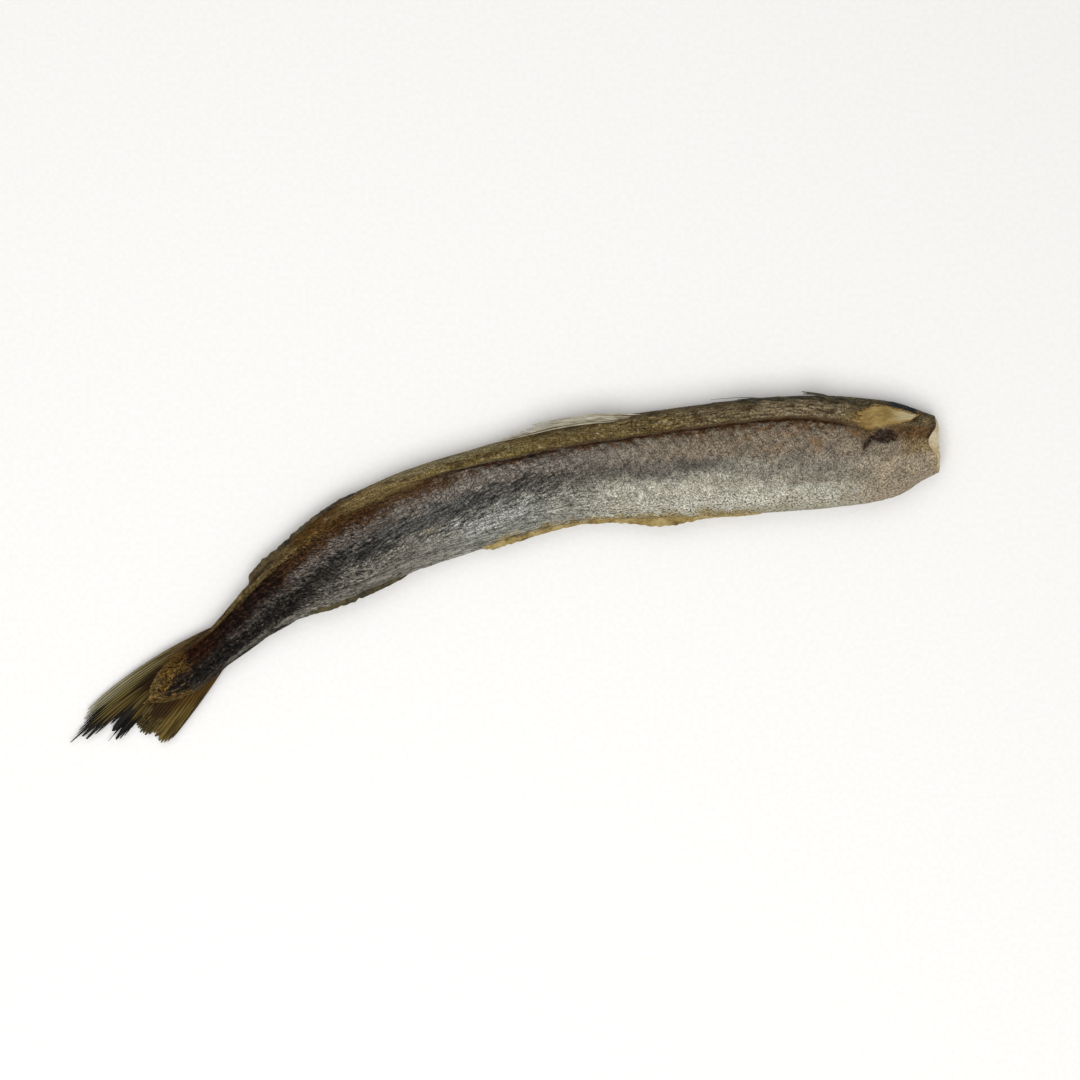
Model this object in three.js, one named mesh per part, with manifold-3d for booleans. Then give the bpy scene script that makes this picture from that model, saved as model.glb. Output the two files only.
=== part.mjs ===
// A dried blue whiting, its head and guts taken off, lying flat on its side.
// Millimetres, +Z up. +X points to the cut end, +Y to the back, and the floor is Z = 0.
// The whole fish is one solid: a lofted body with its fins fused on.
// Places along the body are distances from the cut end, called s. Places across it are shares
// of the half depth, from -1 at the belly to 1 at the back.

import * as THREE from "three";
import { LoftGeometry } from "three/addons/geometries/LoftGeometry.js";
import { mergeVertices } from "three/addons/utils/BufferGeometryUtils.js";
import Module from "manifold-3d";

// Body
const BODY_LENGTH = 186; // along the mid line, to the tip of the flesh on the tail fin
const BODY_DEPTH = 25.6; // back to belly
const BODY_THICKNESS = 11.5; // flank to flank
const SECTION_POWER = 2.4; // how square the oval section is
const BELLY_THICKNESS = 0.66; // the emptied belly, as a share of the full thickness
const UNDER_SHARE = 0.85; // the flank that lay on the drying tray is flatter than the other one
const FLAT_PRESS = 0.8; // how far the tray pressed that flank flat
const TAIL_LIFT = 2.2; // the dried tail curls up off the floor by this much
const TAIL_LIFT_SPAN = [100, 152];
const RING_POINTS = 48;
const RING_STEP = 2.9; // distance between rings along the body

// Cut end
const CUT_SLANT = 2.2; // the upper wall is cut shorter than the lower wall by this much
const CUT_SLANT_PLACE = 0.1; // share of the depth where it is shortest
const CUT_SLANT_WIDTH = 0.45;
const CUT_SLANT_LENGTH = 12; // where the rings stand square to the mid line again
const CUT_WALL = 0.26; // wall round the hollow, as a share of the section
const CUT_HOLLOW = 6; // depth of the hollow that the guts left

// Creases where the skin shrank on to the bones, and the slit belly
const CREASE_SPAN = [0, 18]; // the creases start behind the cut end
const CREASE_FADE = [120, 175]; // and run out on the tail
const BACK_CREASE_DEPTH = 1.0;
const BACK_CREASE_WIDTH = 0.085;
const SIDE_CREASE_DEPTH = 0.4;
const SIDE_CREASE_WIDTH = 0.09;
const CLEFT_DEPTH = 2.2;
const CLEFT_HALF_ANGLE = 0.13;
const CLEFT_FADE = [20, 52];

// Shrinkage wrinkles
const WRINKLE = 0.22;
const WRINKLE_LENGTHS = [19, 8.8]; // two wave lengths along the body, so that no wave repeats
const STALK_RIDGES = 2; // full waves from belly to back on the thin tail stalk
const STALK_SPAN = [115, 150];
const STALK_END = [170, 182];

// Fins
const FIN_THICKNESS = 1.1;
const FIN_ROOT = 1.6; // how deep a fin's foot sits in the flesh
const FIN_STEP = 3;
const RAY_HALF_WIDTH = 0.72;
const RAY_HALF_THICKNESS = 0.42;
const RAY_POINT = 0.15; // width left at a ray's tip, as a share
const RAY_SIDES = 6;
const RAY_STEPS = 5;

// The two lobes of the tail fin. Side is 1 for the lobe next to the back and -1 for the other one.
// The edge is the line of ray tips, from the outer ray to the inner one.
const UPPER_LOBE = {
  side: 1,
  rays: 15,
  roots: [166, 183],
  edge: [
    [-92.3, -31.6, 1.2],
    [-96.2, -38.1, 0.9],
    [-89.3, -37.8, 0.9],
    [-82.4, -35.4, 1.1],
  ],
  bulge: 1.6,
  fray: 0.1,
};
const LOWER_LOBE = {
  side: -1,
  rays: 10,
  roots: [166, 182],
  edge: [
    [-73.9, -38.3, 1.2],
    [-77.9, -37.6, 1.1],
    [-81.8, -35.0, 1.2],
  ],
  bulge: 0.35,
  fray: 0.08,
};

// The stubs of the fins along the back and the belly
const BACK_STUB = { span: [24, 46], side: 1, height: 0.4, notches: 3, lean: 0.4 };
const REAR_BACK_FIN = { span: [126, 155], side: 1, height: 0.7, notches: 4, lean: -0.3 };
const BELLY_FIN = { span: [54, 101], side: -1, height: 0.9, thickness: 2.2, notches: 9, lean: 0.3 };
const REAR_BELLY_FIN = { span: [122, 145], side: -1, height: 0.6, notches: 3, lean: 0 };

// The pale rays of the second back fin, laid flat along the back by drying
const LAID_RAYS = { rays: 5, roots: [64, 71], tips: [92, 87], sunk: 0.8, stands: 0.9, spread: 1.6 };
const LAID_RAY_HALF_WIDTH = 0.4;
const LAID_RAY_BULGE = 0.6;
const LAID_RAY_HEIGHT = 0.5;

const UP = new THREE.Vector3(0, 0, 1);
const { clamp, lerp, smoothstep } = THREE.MathUtils;

// Mid line in plan
const midLine = new THREE.CatmullRomCurve3(
  [
    [95.4, 27.3],
    [74.8, 25.9],
    [55.0, 24.7],
    [35.4, 22.8],
    [15.6, 20.8],
    [-3.5, 16.0],
    [-22.4, 9.8],
    [-40.0, 0.8],
    [-53.2, -8.2],
    [-63.4, -17.5],
    [-70.2, -23.0],
    [-77.9, -28.3],
  ].map(([x, y]) => new THREE.Vector3(x, y, 0)),
  false,
  "centripetal",
);

// A smooth curve through pairs of [distance from the cut end, value].
function along(stations) {
  const places = stations.map((station) => station[0]);
  const values = stations.map((station) => station[1]);
  const curve = new THREE.CubicInterpolant(places, values, 1);
  return (s) => curve.evaluate(clamp(s, 0, BODY_LENGTH))[0];
}

// Half depths to the back and to the belly, as shares of half the greatest depth
const backShare = along([
  [0, 0.5], [4, 0.645], [8, 0.77], [12, 0.84], [16, 0.89], [22, 0.95], [35, 0.99],
  [58, 0.95], [80, 0.86], [100, 0.85], [120, 0.85], [130, 0.82], [140, 0.69], [150, 0.51],
  [160, 0.36], [168, 0.33], [174, 0.37], [178, 0.36], [181, 0.3], [184, 0.19], [186, 0.08],
]);
const bellyShare = along([
  [0, 0.5], [4, 0.635], [8, 0.82], [13, 0.925], [22, 0.985], [35, 1.01],
  [58, 0.95], [80, 0.86], [100, 0.85], [120, 0.85], [130, 0.83], [140, 0.71], [150, 0.555],
  [160, 0.43], [168, 0.36], [174, 0.37], [178, 0.36], [181, 0.3], [184, 0.19], [186, 0.08],
]);
const thicknessShare = along([
  [0, 0.72], [10, 0.88], [25, 0.97], [45, 1], [70, 0.97], [95, 0.9],
  [120, 0.78], [140, 0.6], [155, 0.43], [168, 0.3], [178, 0.19], [186, 0.1],
]);
// Shares of the half depth where the crease under the back and the line along the flank run
const backCreasePlace = along([
  [0, 0.5], [15, 0.42], [22, 0.51], [30, 0.6], [42, 0.58], [60, 0.57], [72, 0.54],
  [90, 0.57], [100, 0.65], [110, 0.68], [150, 0.73], [186, 0.75],
]);
const sideCreasePlace = along([
  [0, -0.2], [22, -0.28], [32, -0.22], [42, -0.1], [60, -0.05], [80, -0.04], [92, 0.05],
  [100, 0.02], [110, -0.06], [122, -0.16], [136, -0.2], [150, -0.44], [186, -0.46],
]);

const halfDepth = (s, side) => (BODY_DEPTH / 2) * (side > 0 ? backShare : bellyShare)(s);
const halfThickness = (s) => (BODY_THICKNESS / 2) * thicknessShare(s);
const bell = (x, width) => Math.exp(-((x / width) ** 2));
const rise = (s, [from, to]) => smoothstep(s, from, to);

// Height of the mid line: the pressed flank touches the floor, and the tail stands clear of it.
function midHeight(s) {
  return UNDER_SHARE * halfThickness(s) - FLAT_PRESS + TAIL_LIFT * rise(s, TAIL_LIFT_SPAN);
}

// Place and directions of the mid line: towards the tail, and towards the back.
function spine(s) {
  const share = clamp(s / BODY_LENGTH, 0, 1);
  const place = midLine.getPointAt(share).setZ(midHeight(s));
  const tailward = midLine.getTangentAt(share);
  const back = new THREE.Vector3(tailward.y, -tailward.x, 0);
  return { place, tailward, back };
}

// The shrinkage wrinkles: slow waves all over, and lengthwise ridges on the tail stalk.
function wrinkles(s, share) {
  const [longWave, shortWave] = WRINKLE_LENGTHS.map((length) => (2 * Math.PI * s) / length);
  const waves = 0.5 * (Math.sin(longWave + 4 * share) + Math.sin(shortWave - 7 * share));
  const stalk = rise(s, STALK_SPAN) * (1 - rise(s, STALK_END));
  return WRINKLE * (waves + stalk * Math.sin(2 * Math.PI * STALK_RIDGES * share));
}

// Half the thickness of the section at a share of the half depth.
function sectionThickness(s, share) {
  const oval = Math.sqrt(Math.max(0, 1 - Math.abs(share) ** SECTION_POWER));
  const full = halfThickness(s) * lerp(BELLY_THICKNESS, 1, rise(share, [-1, 0.25]));
  const backCrease = BACK_CREASE_DEPTH * bell(share - backCreasePlace(s), BACK_CREASE_WIDTH);
  const sideCrease = SIDE_CREASE_DEPTH * bell(share - sideCreasePlace(s), SIDE_CREASE_WIDTH);
  const creased = rise(s, CREASE_SPAN) * (1 - 0.7 * rise(s, CREASE_FADE));
  return oval * (full - (backCrease + sideCrease) * creased + wrinkles(s, share) * oval);
}

// A point of the skin. The turn runs from the back, under the fish, to the belly and over the top.
function skinPoint(s, turn, scale) {
  const { place, tailward, back } = spine(s);
  const share = Math.cos(turn);
  const under = Math.sin(turn);
  const cleft = CLEFT_DEPTH * bell(turn - Math.PI, CLEFT_HALF_ANGLE) * (1 - rise(s, CLEFT_FADE));
  const height = sectionThickness(s, share) * (under > 0 ? -UNDER_SHARE : 1);
  const cut = Math.max(0, -under) * bell(share - CUT_SLANT_PLACE, CUT_SLANT_WIDTH);
  const slant = CUT_SLANT * (1 - rise(s, [0, CUT_SLANT_LENGTH])) * cut;
  place.addScaledVector(back, (halfDepth(s, share) * share + cleft) * scale);
  place.addScaledVector(tailward, slant);
  place.z = Math.max(0, place.z + height * scale);
  return place;
}

function skinRing(s, scale = 1) {
  const turns = Array.from({ length: RING_POINTS }, (_, i) => (i / RING_POINTS) * 2 * Math.PI);
  return turns.map((turn) => skinPoint(s, turn, scale));
}

function closedLoft(rings) {
  return new LoftGeometry(rings, { capStart: true, capEnd: true });
}

function body() {
  const steps = Math.round(BODY_LENGTH / RING_STEP);
  const places = Array.from({ length: steps + 1 }, (_, i) => (i / steps) * BODY_LENGTH);
  return closedLoft(places.map((s) => skinRing(s)));
}

// The hollow at the cut end: rings that shrink as they run into the body from in front of it.
function hollow() {
  const mouth = 1 - CUT_WALL;
  const { tailward } = spine(0);
  const rings = [
    [-2 * CUT_SLANT, mouth],
    [0.3 * CUT_HOLLOW, mouth * 0.9],
    [0.75 * CUT_HOLLOW, mouth * 0.6],
    [CUT_HOLLOW, mouth * 0.25],
  ];
  return closedLoft(
    rings.map(([inset, scale]) =>
      skinRing(0, scale).map((point) => point.addScaledVector(tailward, inset)),
    ),
  );
}

// A fin ray: a flat bar along a curve, pointed at its tip.
function ray(root, tip, bulge, halfWidth) {
  const across = new THREE.Vector3().subVectors(tip, root).cross(UP).normalize();
  const middle = root.clone().lerp(tip, 0.5).addScaledVector(across, 2 * bulge);
  const path = new THREE.QuadraticBezierCurve3(root, middle, tip);
  const sections = [];
  for (let step = 0; step <= RAY_STEPS; step++) {
    const t = step / RAY_STEPS;
    const taper = 1 - (1 - RAY_POINT) * t ** 6;
    const side = UP.clone().cross(path.getTangent(t)).normalize();
    const section = [];
    for (let corner = 0; corner < RAY_SIDES; corner++) {
      const angle = (corner / RAY_SIDES) * 2 * Math.PI;
      const point = path.getPoint(t).addScaledVector(side, Math.cos(angle) * halfWidth * taper);
      point.z += Math.sin(angle) * RAY_HALF_THICKNESS * taper;
      section.push(point);
    }
    sections.push(section);
  }
  return closedLoft(sections);
}

// One lobe of the tail fin: rays that spread from the flesh of the tail to a frayed edge.
function tailLobe({ side, rays, roots, edge, bulge, fray }) {
  const tips = new THREE.CatmullRomCurve3(edge.map((tip) => new THREE.Vector3(...tip)));
  return Array.from({ length: rays }, (_, i) => {
    const inward = i / (rays - 1);
    const s = lerp(...roots, inward);
    const { place: root, back } = spine(s);
    root.addScaledVector(back, side * (1 - inward) * (halfDepth(s, side) - RAY_HALF_WIDTH));
    const broken = fray * (0.5 - 0.5 * Math.cos(2.4 * i));
    const tip = tips.getPointAt(inward).lerp(root, broken);
    return ray(root, tip, side * bulge * (1 - inward), RAY_HALF_WIDTH);
  });
}

// A low ragged fin along the back (side 1) or the belly (side -1).
function edgeFin({ span: [from, to], side, height, thickness = FIN_THICKNESS, notches, lean }) {
  const steps = Math.round((to - from) / FIN_STEP);
  const sections = [];
  for (let step = 0; step <= steps; step++) {
    const t = step / steps;
    const s = lerp(from, to, t);
    const { place, back } = spine(s);
    const arch = Math.sin(Math.PI * lerp(0.04, 0.96, t)) ** 0.6;
    const ragged = 0.86 + 0.14 * Math.sin(notches * 2 * Math.PI * t);
    const crest = side * (halfDepth(s, side) + height * arch * ragged);
    const foot = side * (halfDepth(s, side) - FIN_ROOT);
    const half = (thickness / 2) * lerp(0.35, 1, arch);
    const corners = [
      [foot, half],
      [crest, half / 2 + lean * arch],
      [crest, -half / 2 + lean * arch],
      [foot, -half],
    ];
    if (side < 0) corners.reverse();
    const section = corners.map(([out, up]) => {
      const point = place.clone().addScaledVector(back, out);
      point.z = Math.max(0, point.z + up);
      return point;
    });
    sections.push(section);
  }
  return closedLoft(sections);
}

// Fin rays that lie along the back, their tips fanned out a little.
function laidRays({ rays, roots, tips, sunk, stands, spread }) {
  const onBack = (s, out, up) => {
    const { place, back } = spine(s);
    place.addScaledVector(back, halfDepth(s, 1) + out);
    place.z += up;
    return place;
  };
  return Array.from({ length: rays }, (_, i) => {
    const share = i / (rays - 1);
    const root = onBack(lerp(...roots, share), -sunk, LAID_RAY_HEIGHT);
    const tip = onBack(lerp(...tips, share), stands - spread * share, LAID_RAY_HEIGHT * (1 + share));
    return ray(root, tip, LAID_RAY_BULGE, LAID_RAY_HALF_WIDTH);
  });
}

const wasm = await Module();
wasm.setup();

// A closed geometry as a solid that can be joined and cut.
function solidOf(geometry) {
  const bare = new THREE.BufferGeometry().copy(geometry);
  bare.deleteAttribute("normal").deleteAttribute("uv");
  const merged = mergeVertices(bare);
  const vertProperties = merged.attributes.position.array;
  const triVerts = new Uint32Array(merged.index.array);
  return new wasm.Manifold(new wasm.Mesh({ numProp: 3, vertProperties, triVerts }));
}

function geometryOf(solid) {
  const { vertProperties, triVerts } = solid.getMesh();
  const geometry = new THREE.BufferGeometry();
  geometry.setAttribute("position", new THREE.BufferAttribute(vertProperties, 3));
  geometry.setIndex(new THREE.BufferAttribute(triVerts, 1));
  geometry.computeVertexNormals();
  return geometry;
}

const fins = [
  ...tailLobe(UPPER_LOBE),
  ...tailLobe(LOWER_LOBE),
  ...laidRays(LAID_RAYS),
  ...[BACK_STUB, REAR_BACK_FIN, BELLY_FIN, REAR_BELLY_FIN].map(edgeFin),
];
const trunk = solidOf(body()).subtract(solidOf(hollow()));
const fish = fins.map(solidOf).reduce((joined, fin) => joined.add(fin), trunk);

const driedFish = new THREE.Mesh(
  geometryOf(fish),
  new THREE.MeshStandardMaterial({ color: 0x7d7361, roughness: 0.62, metalness: 0 }),
);
driedFish.name = "dried_whiting";

const part = new THREE.Group();
part.add(driedFish);

export default part;
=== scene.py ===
# %% [markdown]
# # A dried blue whiting
# The fish lost its head and guts and was then dried until the skin shrank on to the muscle. Nearly all
# that the eye sees is skin: an olive ridge along the back, a dark crease under it, a grey flank, a
# silvery belly and a black tail stalk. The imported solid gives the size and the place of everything. This
# notebook builds the visible fish over that solid, piece by piece, and gives each piece a material made
# from nodes.

# %% Load the frame
import math
import random
from functools import lru_cache

import bmesh
import bpy
import numpy as np
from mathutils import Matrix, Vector, noise


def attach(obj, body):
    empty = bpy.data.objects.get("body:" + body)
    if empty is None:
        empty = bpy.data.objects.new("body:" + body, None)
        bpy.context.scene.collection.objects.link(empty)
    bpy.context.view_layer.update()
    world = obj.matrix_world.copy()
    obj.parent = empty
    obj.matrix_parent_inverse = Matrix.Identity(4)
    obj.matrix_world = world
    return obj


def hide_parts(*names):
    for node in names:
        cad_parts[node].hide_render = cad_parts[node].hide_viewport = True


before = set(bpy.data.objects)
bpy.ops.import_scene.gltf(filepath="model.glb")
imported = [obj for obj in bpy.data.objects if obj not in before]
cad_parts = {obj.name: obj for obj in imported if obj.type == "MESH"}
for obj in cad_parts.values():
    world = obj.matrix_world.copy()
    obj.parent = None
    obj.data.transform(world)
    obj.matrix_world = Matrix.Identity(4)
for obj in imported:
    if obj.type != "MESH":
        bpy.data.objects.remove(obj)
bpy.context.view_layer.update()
MM = 0.001
NODE = "dried_whiting"

# %% [markdown]
# ## Camera
# The photograph looks straight down on the fish. A camera over the origin of the frame could do, but the
# picture can be laid over the photograph only if the same pixel shows the same point, so the camera
# stands over the middle of the photograph and sees a square of the same width. A long lens keeps the view
# flat.

# %% Camera
PIXEL = 0.22 * MM
PHOTO_SIDE = 1080
ORIGIN_PIXEL = (504.0, 568.5)
LENS = 85.0
SENSOR = 36.0
FLANK_HEIGHT = 5 * MM

camera_data = bpy.data.cameras.new("camera")
camera_data.lens = LENS
camera_data.sensor_width = SENSOR
camera = bpy.data.objects.new("camera", camera_data)
bpy.context.collection.objects.link(camera)
camera.location = (
    (PHOTO_SIDE / 2 - ORIGIN_PIXEL[0]) * PIXEL,
    (ORIGIN_PIXEL[1] - PHOTO_SIDE / 2) * PIXEL,
    FLANK_HEIGHT + PHOTO_SIDE * PIXEL * LENS / SENSOR,
)
bpy.context.scene.camera = camera
print("camera height in mm", round(camera.location.z / MM))

# %% [markdown]
# ## Helpers for nodes and pieces
# Colours are written as they look on the screen, in hex, so they have to be turned to the linear light
# that the shaders work in. One function adds any node: its own properties come as settings, its sockets
# come as inputs, and an input that is another node's output becomes a link.

# %% Colour and node helpers
def linear(colour):
    """An sRGB hex colour as linear RGBA."""
    channels = [int(colour[i : i + 2], 16) / 255 for i in (1, 3, 5)]
    return [c / 12.92 if c <= 0.04045 else ((c + 0.055) / 1.055) ** 2.4 for c in channels] + [1.0]


def add(tree, kind, inputs=None, stops=None, output=0, **settings):
    """Add a node with its settings, its inputs and a ramp's stops. Gives one output, or all for None."""
    node = tree.nodes.new("ShaderNode" + kind)
    for name, value in settings.items():
        setattr(node, name, value)
    for socket, value in (inputs or {}).items():
        if isinstance(value, bpy.types.NodeSocket):
            tree.links.new(value, node.inputs[socket])
        else:
            node.inputs[socket].default_value = value
    if stops:
        elements = node.color_ramp.elements
        elements[0].position = stops[0][0]
        elements[-1].position = stops[-1][0]
        for place, _ in stops[1:-1]:
            elements.new(place)
        for element, (_, colour) in zip(elements, stops):
            element.color = linear(colour)
    return node.outputs if output is None else node.outputs[output]


print("mid grey in linear light", round(linear("#808080")[0], 3))

# %% Material and piece helpers
def new_material(name):
    """An empty material and its node tree."""
    material = bpy.data.materials.new(name)
    material.use_nodes = True
    material.node_tree.nodes.clear()
    return material, material.node_tree


def surface(tree, colour, grain, span, depth, strength, rough, ior, gloss):
    """Close a material: its grain gives the bump, depth in mm, and over its span also the roughness."""
    bump = add(tree, "Bump", {"Height": grain, "Strength": strength, "Distance": depth * MM})
    limits = {"From Min": span[0], "From Max": span[1], "To Min": rough[0], "To Max": rough[1]}
    roughness = add(tree, "MapRange", {"Value": grain, **limits})
    inputs = {"Base Color": colour, "Roughness": roughness, "Normal": bump}
    shader = add(tree, "BsdfPrincipled", {**inputs, "IOR": ior, "Specular IOR Level": gloss})
    add(tree, "OutputMaterial", {"Surface": shader}, output=None)


def piece(name, bm, *materials):
    """A bmesh, built in millimetres, as a piece that rides on the fish and stands for its solid."""
    bmesh.ops.recalc_face_normals(bm, faces=bm.faces)
    bmesh.ops.scale(bm, vec=(MM, MM, MM), verts=bm.verts)
    mesh = bpy.data.meshes.new(name)
    bm.to_mesh(mesh)
    bm.free()
    mesh.shade_smooth()
    for material in materials:
        mesh.materials.append(material)
    made = bpy.data.objects.new(name, mesh)
    bpy.context.collection.objects.link(made)
    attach(made, "root")
    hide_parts(NODE)
    print(name, "faces", len(mesh.polygons), "size in mm", [round(x / MM, 1) for x in made.dimensions])


# %% [markdown]
# ## Floor and light
# The floor is a plain pale table top. One large softbox hangs over the belly side, so that the wall of
# the back ridge catches the light and the crease under it stays dark. A weaker one fills the other side,
# and a white surround does the rest.

# %% Floor
FLOOR_SIDE = 3000
FLOOR_GAP = 0.05
FLOOR_GRIT = 1.0

# Matt and nearly white: the eye sees an even ground with a faint grit.
floor_material, tree = new_material("pale matt table top")
floor_place = add(tree, "TexCoord", output="Object")
grit = add(tree, "TexNoise", {"Vector": floor_place, "Scale": 1 / FLOOR_GRIT / MM, "Detail": 2.0})
floor_colour = add(tree, "ValToRGB", {"Fac": grit}, stops=[(0.3, "#f6f5f3"), (0.7, "#faf9f8")])
floor_shader = add(tree, "BsdfPrincipled", {"Base Color": floor_colour, "Roughness": 0.9})
add(tree, "OutputMaterial", {"Surface": floor_shader}, output=None)

bm = bmesh.new()
bmesh.ops.create_grid(bm, x_segments=1, y_segments=1, size=FLOOR_SIDE / 2 * MM)
bmesh.ops.translate(bm, vec=(0, 0, -FLOOR_GAP * MM), verts=bm.verts)
floor_mesh = bpy.data.meshes.new("floor")
bm.to_mesh(floor_mesh)
bm.free()
floor_mesh.materials.append(floor_material)
floor = bpy.data.objects.new("floor", floor_mesh)
bpy.context.collection.objects.link(floor)
print("floor side in mm", round(floor.dimensions.x / MM))

# %% Light
SOFTBOXES = {
    "softbox": {"place": (-20, -300, 700), "side": 700, "watts": 4.3},
    "fill": {"place": (-250, 350, 650), "side": 600, "watts": 1.0},
}
for name, box in SOFTBOXES.items():
    light = bpy.data.lights.new(name, "AREA")
    light.energy = box["watts"]
    light.size = box["side"] * MM
    lamp = bpy.data.objects.new(name, light)
    lamp.location = Vector(box["place"]) * MM
    lamp.rotation_euler = (-lamp.location).to_track_quat("-Z", "Y").to_euler()
    bpy.context.collection.objects.link(lamp)

world = bpy.data.worlds.new("white surround")
world.use_nodes = True
surround = world.node_tree.nodes["Background"].inputs
surround["Color"].default_value = linear("#fbfaf8")
surround["Strength"].default_value = 0.42
bpy.context.scene.world = world
bpy.context.scene.view_settings.view_transform = "Standard"
print("lights", list(SOFTBOXES))

# %% [markdown]
# ## The plain form
# The body is an oval that runs along a bent mid line. Its depth and thickness change from the cut end to
# the tail, so each is a smooth curve through a few stations. Places along the fish are called s and are
# measured in millimetres from the cut end. Places across it are shares, from -1 at the belly to 1 at the
# back. The turn goes once round the body: belly, upper flank, back, lower flank, belly. These are the
# sizes of the solid, so that what is built here lies where the solid lies.

# %% Curves
def along(stations):
    """A smooth curve through pairs of place and value."""
    places, values = (np.array(column, float) for column in zip(*stations))
    slopes = np.gradient(values, places)

    def value(s):
        s = min(max(s, places[0]), places[-1])
        i = min(int(np.searchsorted(places, s, side="right")) - 1, len(places) - 2)
        gap = places[i + 1] - places[i]
        t = (s - places[i]) / gap
        start = values[i] * (1 + 2 * t) + slopes[i] * gap * t
        end = values[i + 1] * (3 - 2 * t) - slopes[i + 1] * gap * (1 - t)
        return float(start * (1 - t) ** 2 + end * t**2)

    return value


def through(points):
    """A smooth curve through points, by the share of its length."""
    points = np.array(points, float)
    steps = np.linalg.norm(np.diff(points, axis=0), axis=1)
    shares = np.concatenate([[0], np.cumsum(steps)]) / steps.sum()
    axes = [along(list(zip(shares, column))) for column in points.T]
    return lambda share: Vector([axis(share) for axis in axes])


def rise(x, start, end):
    """A smooth step from 0 at the start to 1 at the end."""
    t = min(max((x - start) / (end - start), 0.0), 1.0)
    return t * t * (3 - 2 * t)


def bell(x, width):
    """A smooth bump of height 1 at x = 0."""
    return math.exp(-((x / width) ** 2))


def lerp(a, b, t):
    """The value at a share t of the way from a to b."""
    return a + (b - a) * t


print("a smooth step at a quarter of its way", round(rise(0.25, 0, 1), 3))

# %% Sizes and stations
BODY_LENGTH = 186.0
BODY_DEPTH = 25.6
BODY_THICKNESS = 11.5
# Points of the mid line, x and y in mm, from the cut to the tail.
MID_LINE = [
    (95.4, 27.3),
    (74.8, 25.9),
    (55.0, 24.7),
    (35.4, 22.8),
    (15.6, 20.8),
    (-3.5, 16.0),
    (-22.4, 9.8),
    (-40.0, 0.8),
    (-53.2, -8.2),
    (-63.4, -17.5),
    (-70.2, -23.0),
    (-77.9, -28.3),
]

mid_line = through(MID_LINE)
back_share = along([
    (0, 0.5), (4, 0.645), (8, 0.77), (12, 0.84), (16, 0.89), (22, 0.95), (35, 0.99), (58, 0.95),
    (80, 0.86), (100, 0.85), (120, 0.85), (130, 0.82), (140, 0.69), (150, 0.51), (160, 0.36),
    (168, 0.33), (174, 0.37), (178, 0.36), (181, 0.3), (184, 0.19), (186, 0.08),
])
belly_share = along([
    (0, 0.5), (4, 0.635), (8, 0.82), (13, 0.925), (22, 0.985), (35, 1.01), (58, 0.95), (80, 0.86),
    (100, 0.85), (120, 0.85), (130, 0.83), (140, 0.71), (150, 0.555), (160, 0.43), (168, 0.36),
    (174, 0.37), (178, 0.36), (181, 0.3), (184, 0.19), (186, 0.08),
])
thickness_share = along([
    (0, 0.72), (10, 0.88), (25, 0.97), (45, 1), (70, 0.97), (95, 0.9), (120, 0.78), (140, 0.6),
    (155, 0.43), (168, 0.3), (178, 0.19), (186, 0.1),
])
back_crease = along([
    (0, 0.5), (15, 0.42), (22, 0.51), (30, 0.6), (42, 0.58), (60, 0.57), (72, 0.54), (90, 0.57),
    (100, 0.65), (110, 0.68), (150, 0.73), (186, 0.75),
])
side_line = along([
    (0, -0.2), (22, -0.28), (32, -0.22), (42, -0.1), (60, -0.05), (80, -0.04), (92, 0.05),
    (100, 0.02), (110, -0.06), (122, -0.16), (136, -0.2), (150, -0.44), (186, -0.46),
])

lengths = [(mid_line((i + 1) / 99) - mid_line(i / 99)).length for i in range(99)]
print("mid line in mm", round(sum(lengths), 1))

# %% Sections along the body
UNDER_SHARE = 0.85
FLAT_PRESS = 0.8
TAIL_LIFT = 2.2
TAIL_LIFT_ZONE = (100, 152)
FOLD_WANDER = 0.014
FOLD_WANDER_LENGTH = 6
SPINE_STEP = 0.004


@lru_cache(maxsize=None)
def station(s):
    """Half depths to belly and back, half thickness, and the shares of the crease and the side line."""
    belly, back = (BODY_DEPTH / 2 * share(s) for share in (belly_share, back_share))
    fold = back_crease(s) + FOLD_WANDER * noise.noise(Vector((s / FOLD_WANDER_LENGTH, 2.2, 0)))
    return belly, back, BODY_THICKNESS / 2 * thickness_share(s), fold, side_line(s)


def half_depth(s, side):
    """Half the depth to the back for a side above 0, and to the belly below."""
    belly, back = station(s)[:2]
    return back if side > 0 else belly


@lru_cache(maxsize=None)
def spine(s):
    """Place of the mid line, the direction to the tail, and the direction to the back."""
    share = min(max(s / BODY_LENGTH, 0.0), 1.0)
    place = mid_line(share)
    ahead = mid_line(min(share + SPINE_STEP, 1.0)) - mid_line(max(share - SPINE_STEP, 0.0))
    tailward = Vector((ahead.x, ahead.y, 0)).normalized()
    height = UNDER_SHARE * station(s)[2] - FLAT_PRESS + TAIL_LIFT * rise(s, *TAIL_LIFT_ZONE)
    return Vector((place.x, place.y, height)), tailward, Vector((tailward.y, -tailward.x, 0))


print("depth at mid length in mm", round(sum(station(BODY_LENGTH / 2)[:2]), 1))

# %% Thickness across a section
SECTION_POWER = 2.4
BELLY_THICKNESS = 0.66
BELLY_SLOPE = (-1, 0.25)
CREASE_START = (0, 18)
CREASE_END = (120, 175)
CREASE_LOSS = 0.7
CREASE_WIDTH = 0.085
LINE_DEPTH = 0.4
LINE_WIDTH = 0.09


def section_thickness(s, share):
    """Half the thickness of the body, at a share of its half depth."""
    thick, fold, line = station(s)[2:]
    oval = math.sqrt(max(0.0, 1 - abs(share) ** SECTION_POWER))
    full = thick * lerp(BELLY_THICKNESS, 1, rise(share, *BELLY_SLOPE))
    creased = rise(s, *CREASE_START) * (1 - CREASE_LOSS * rise(s, *CREASE_END))
    folds = bell(share - fold, CREASE_WIDTH) + LINE_DEPTH * bell(share - line, LINE_WIDTH)
    return oval * (full - folds * creased)


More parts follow.
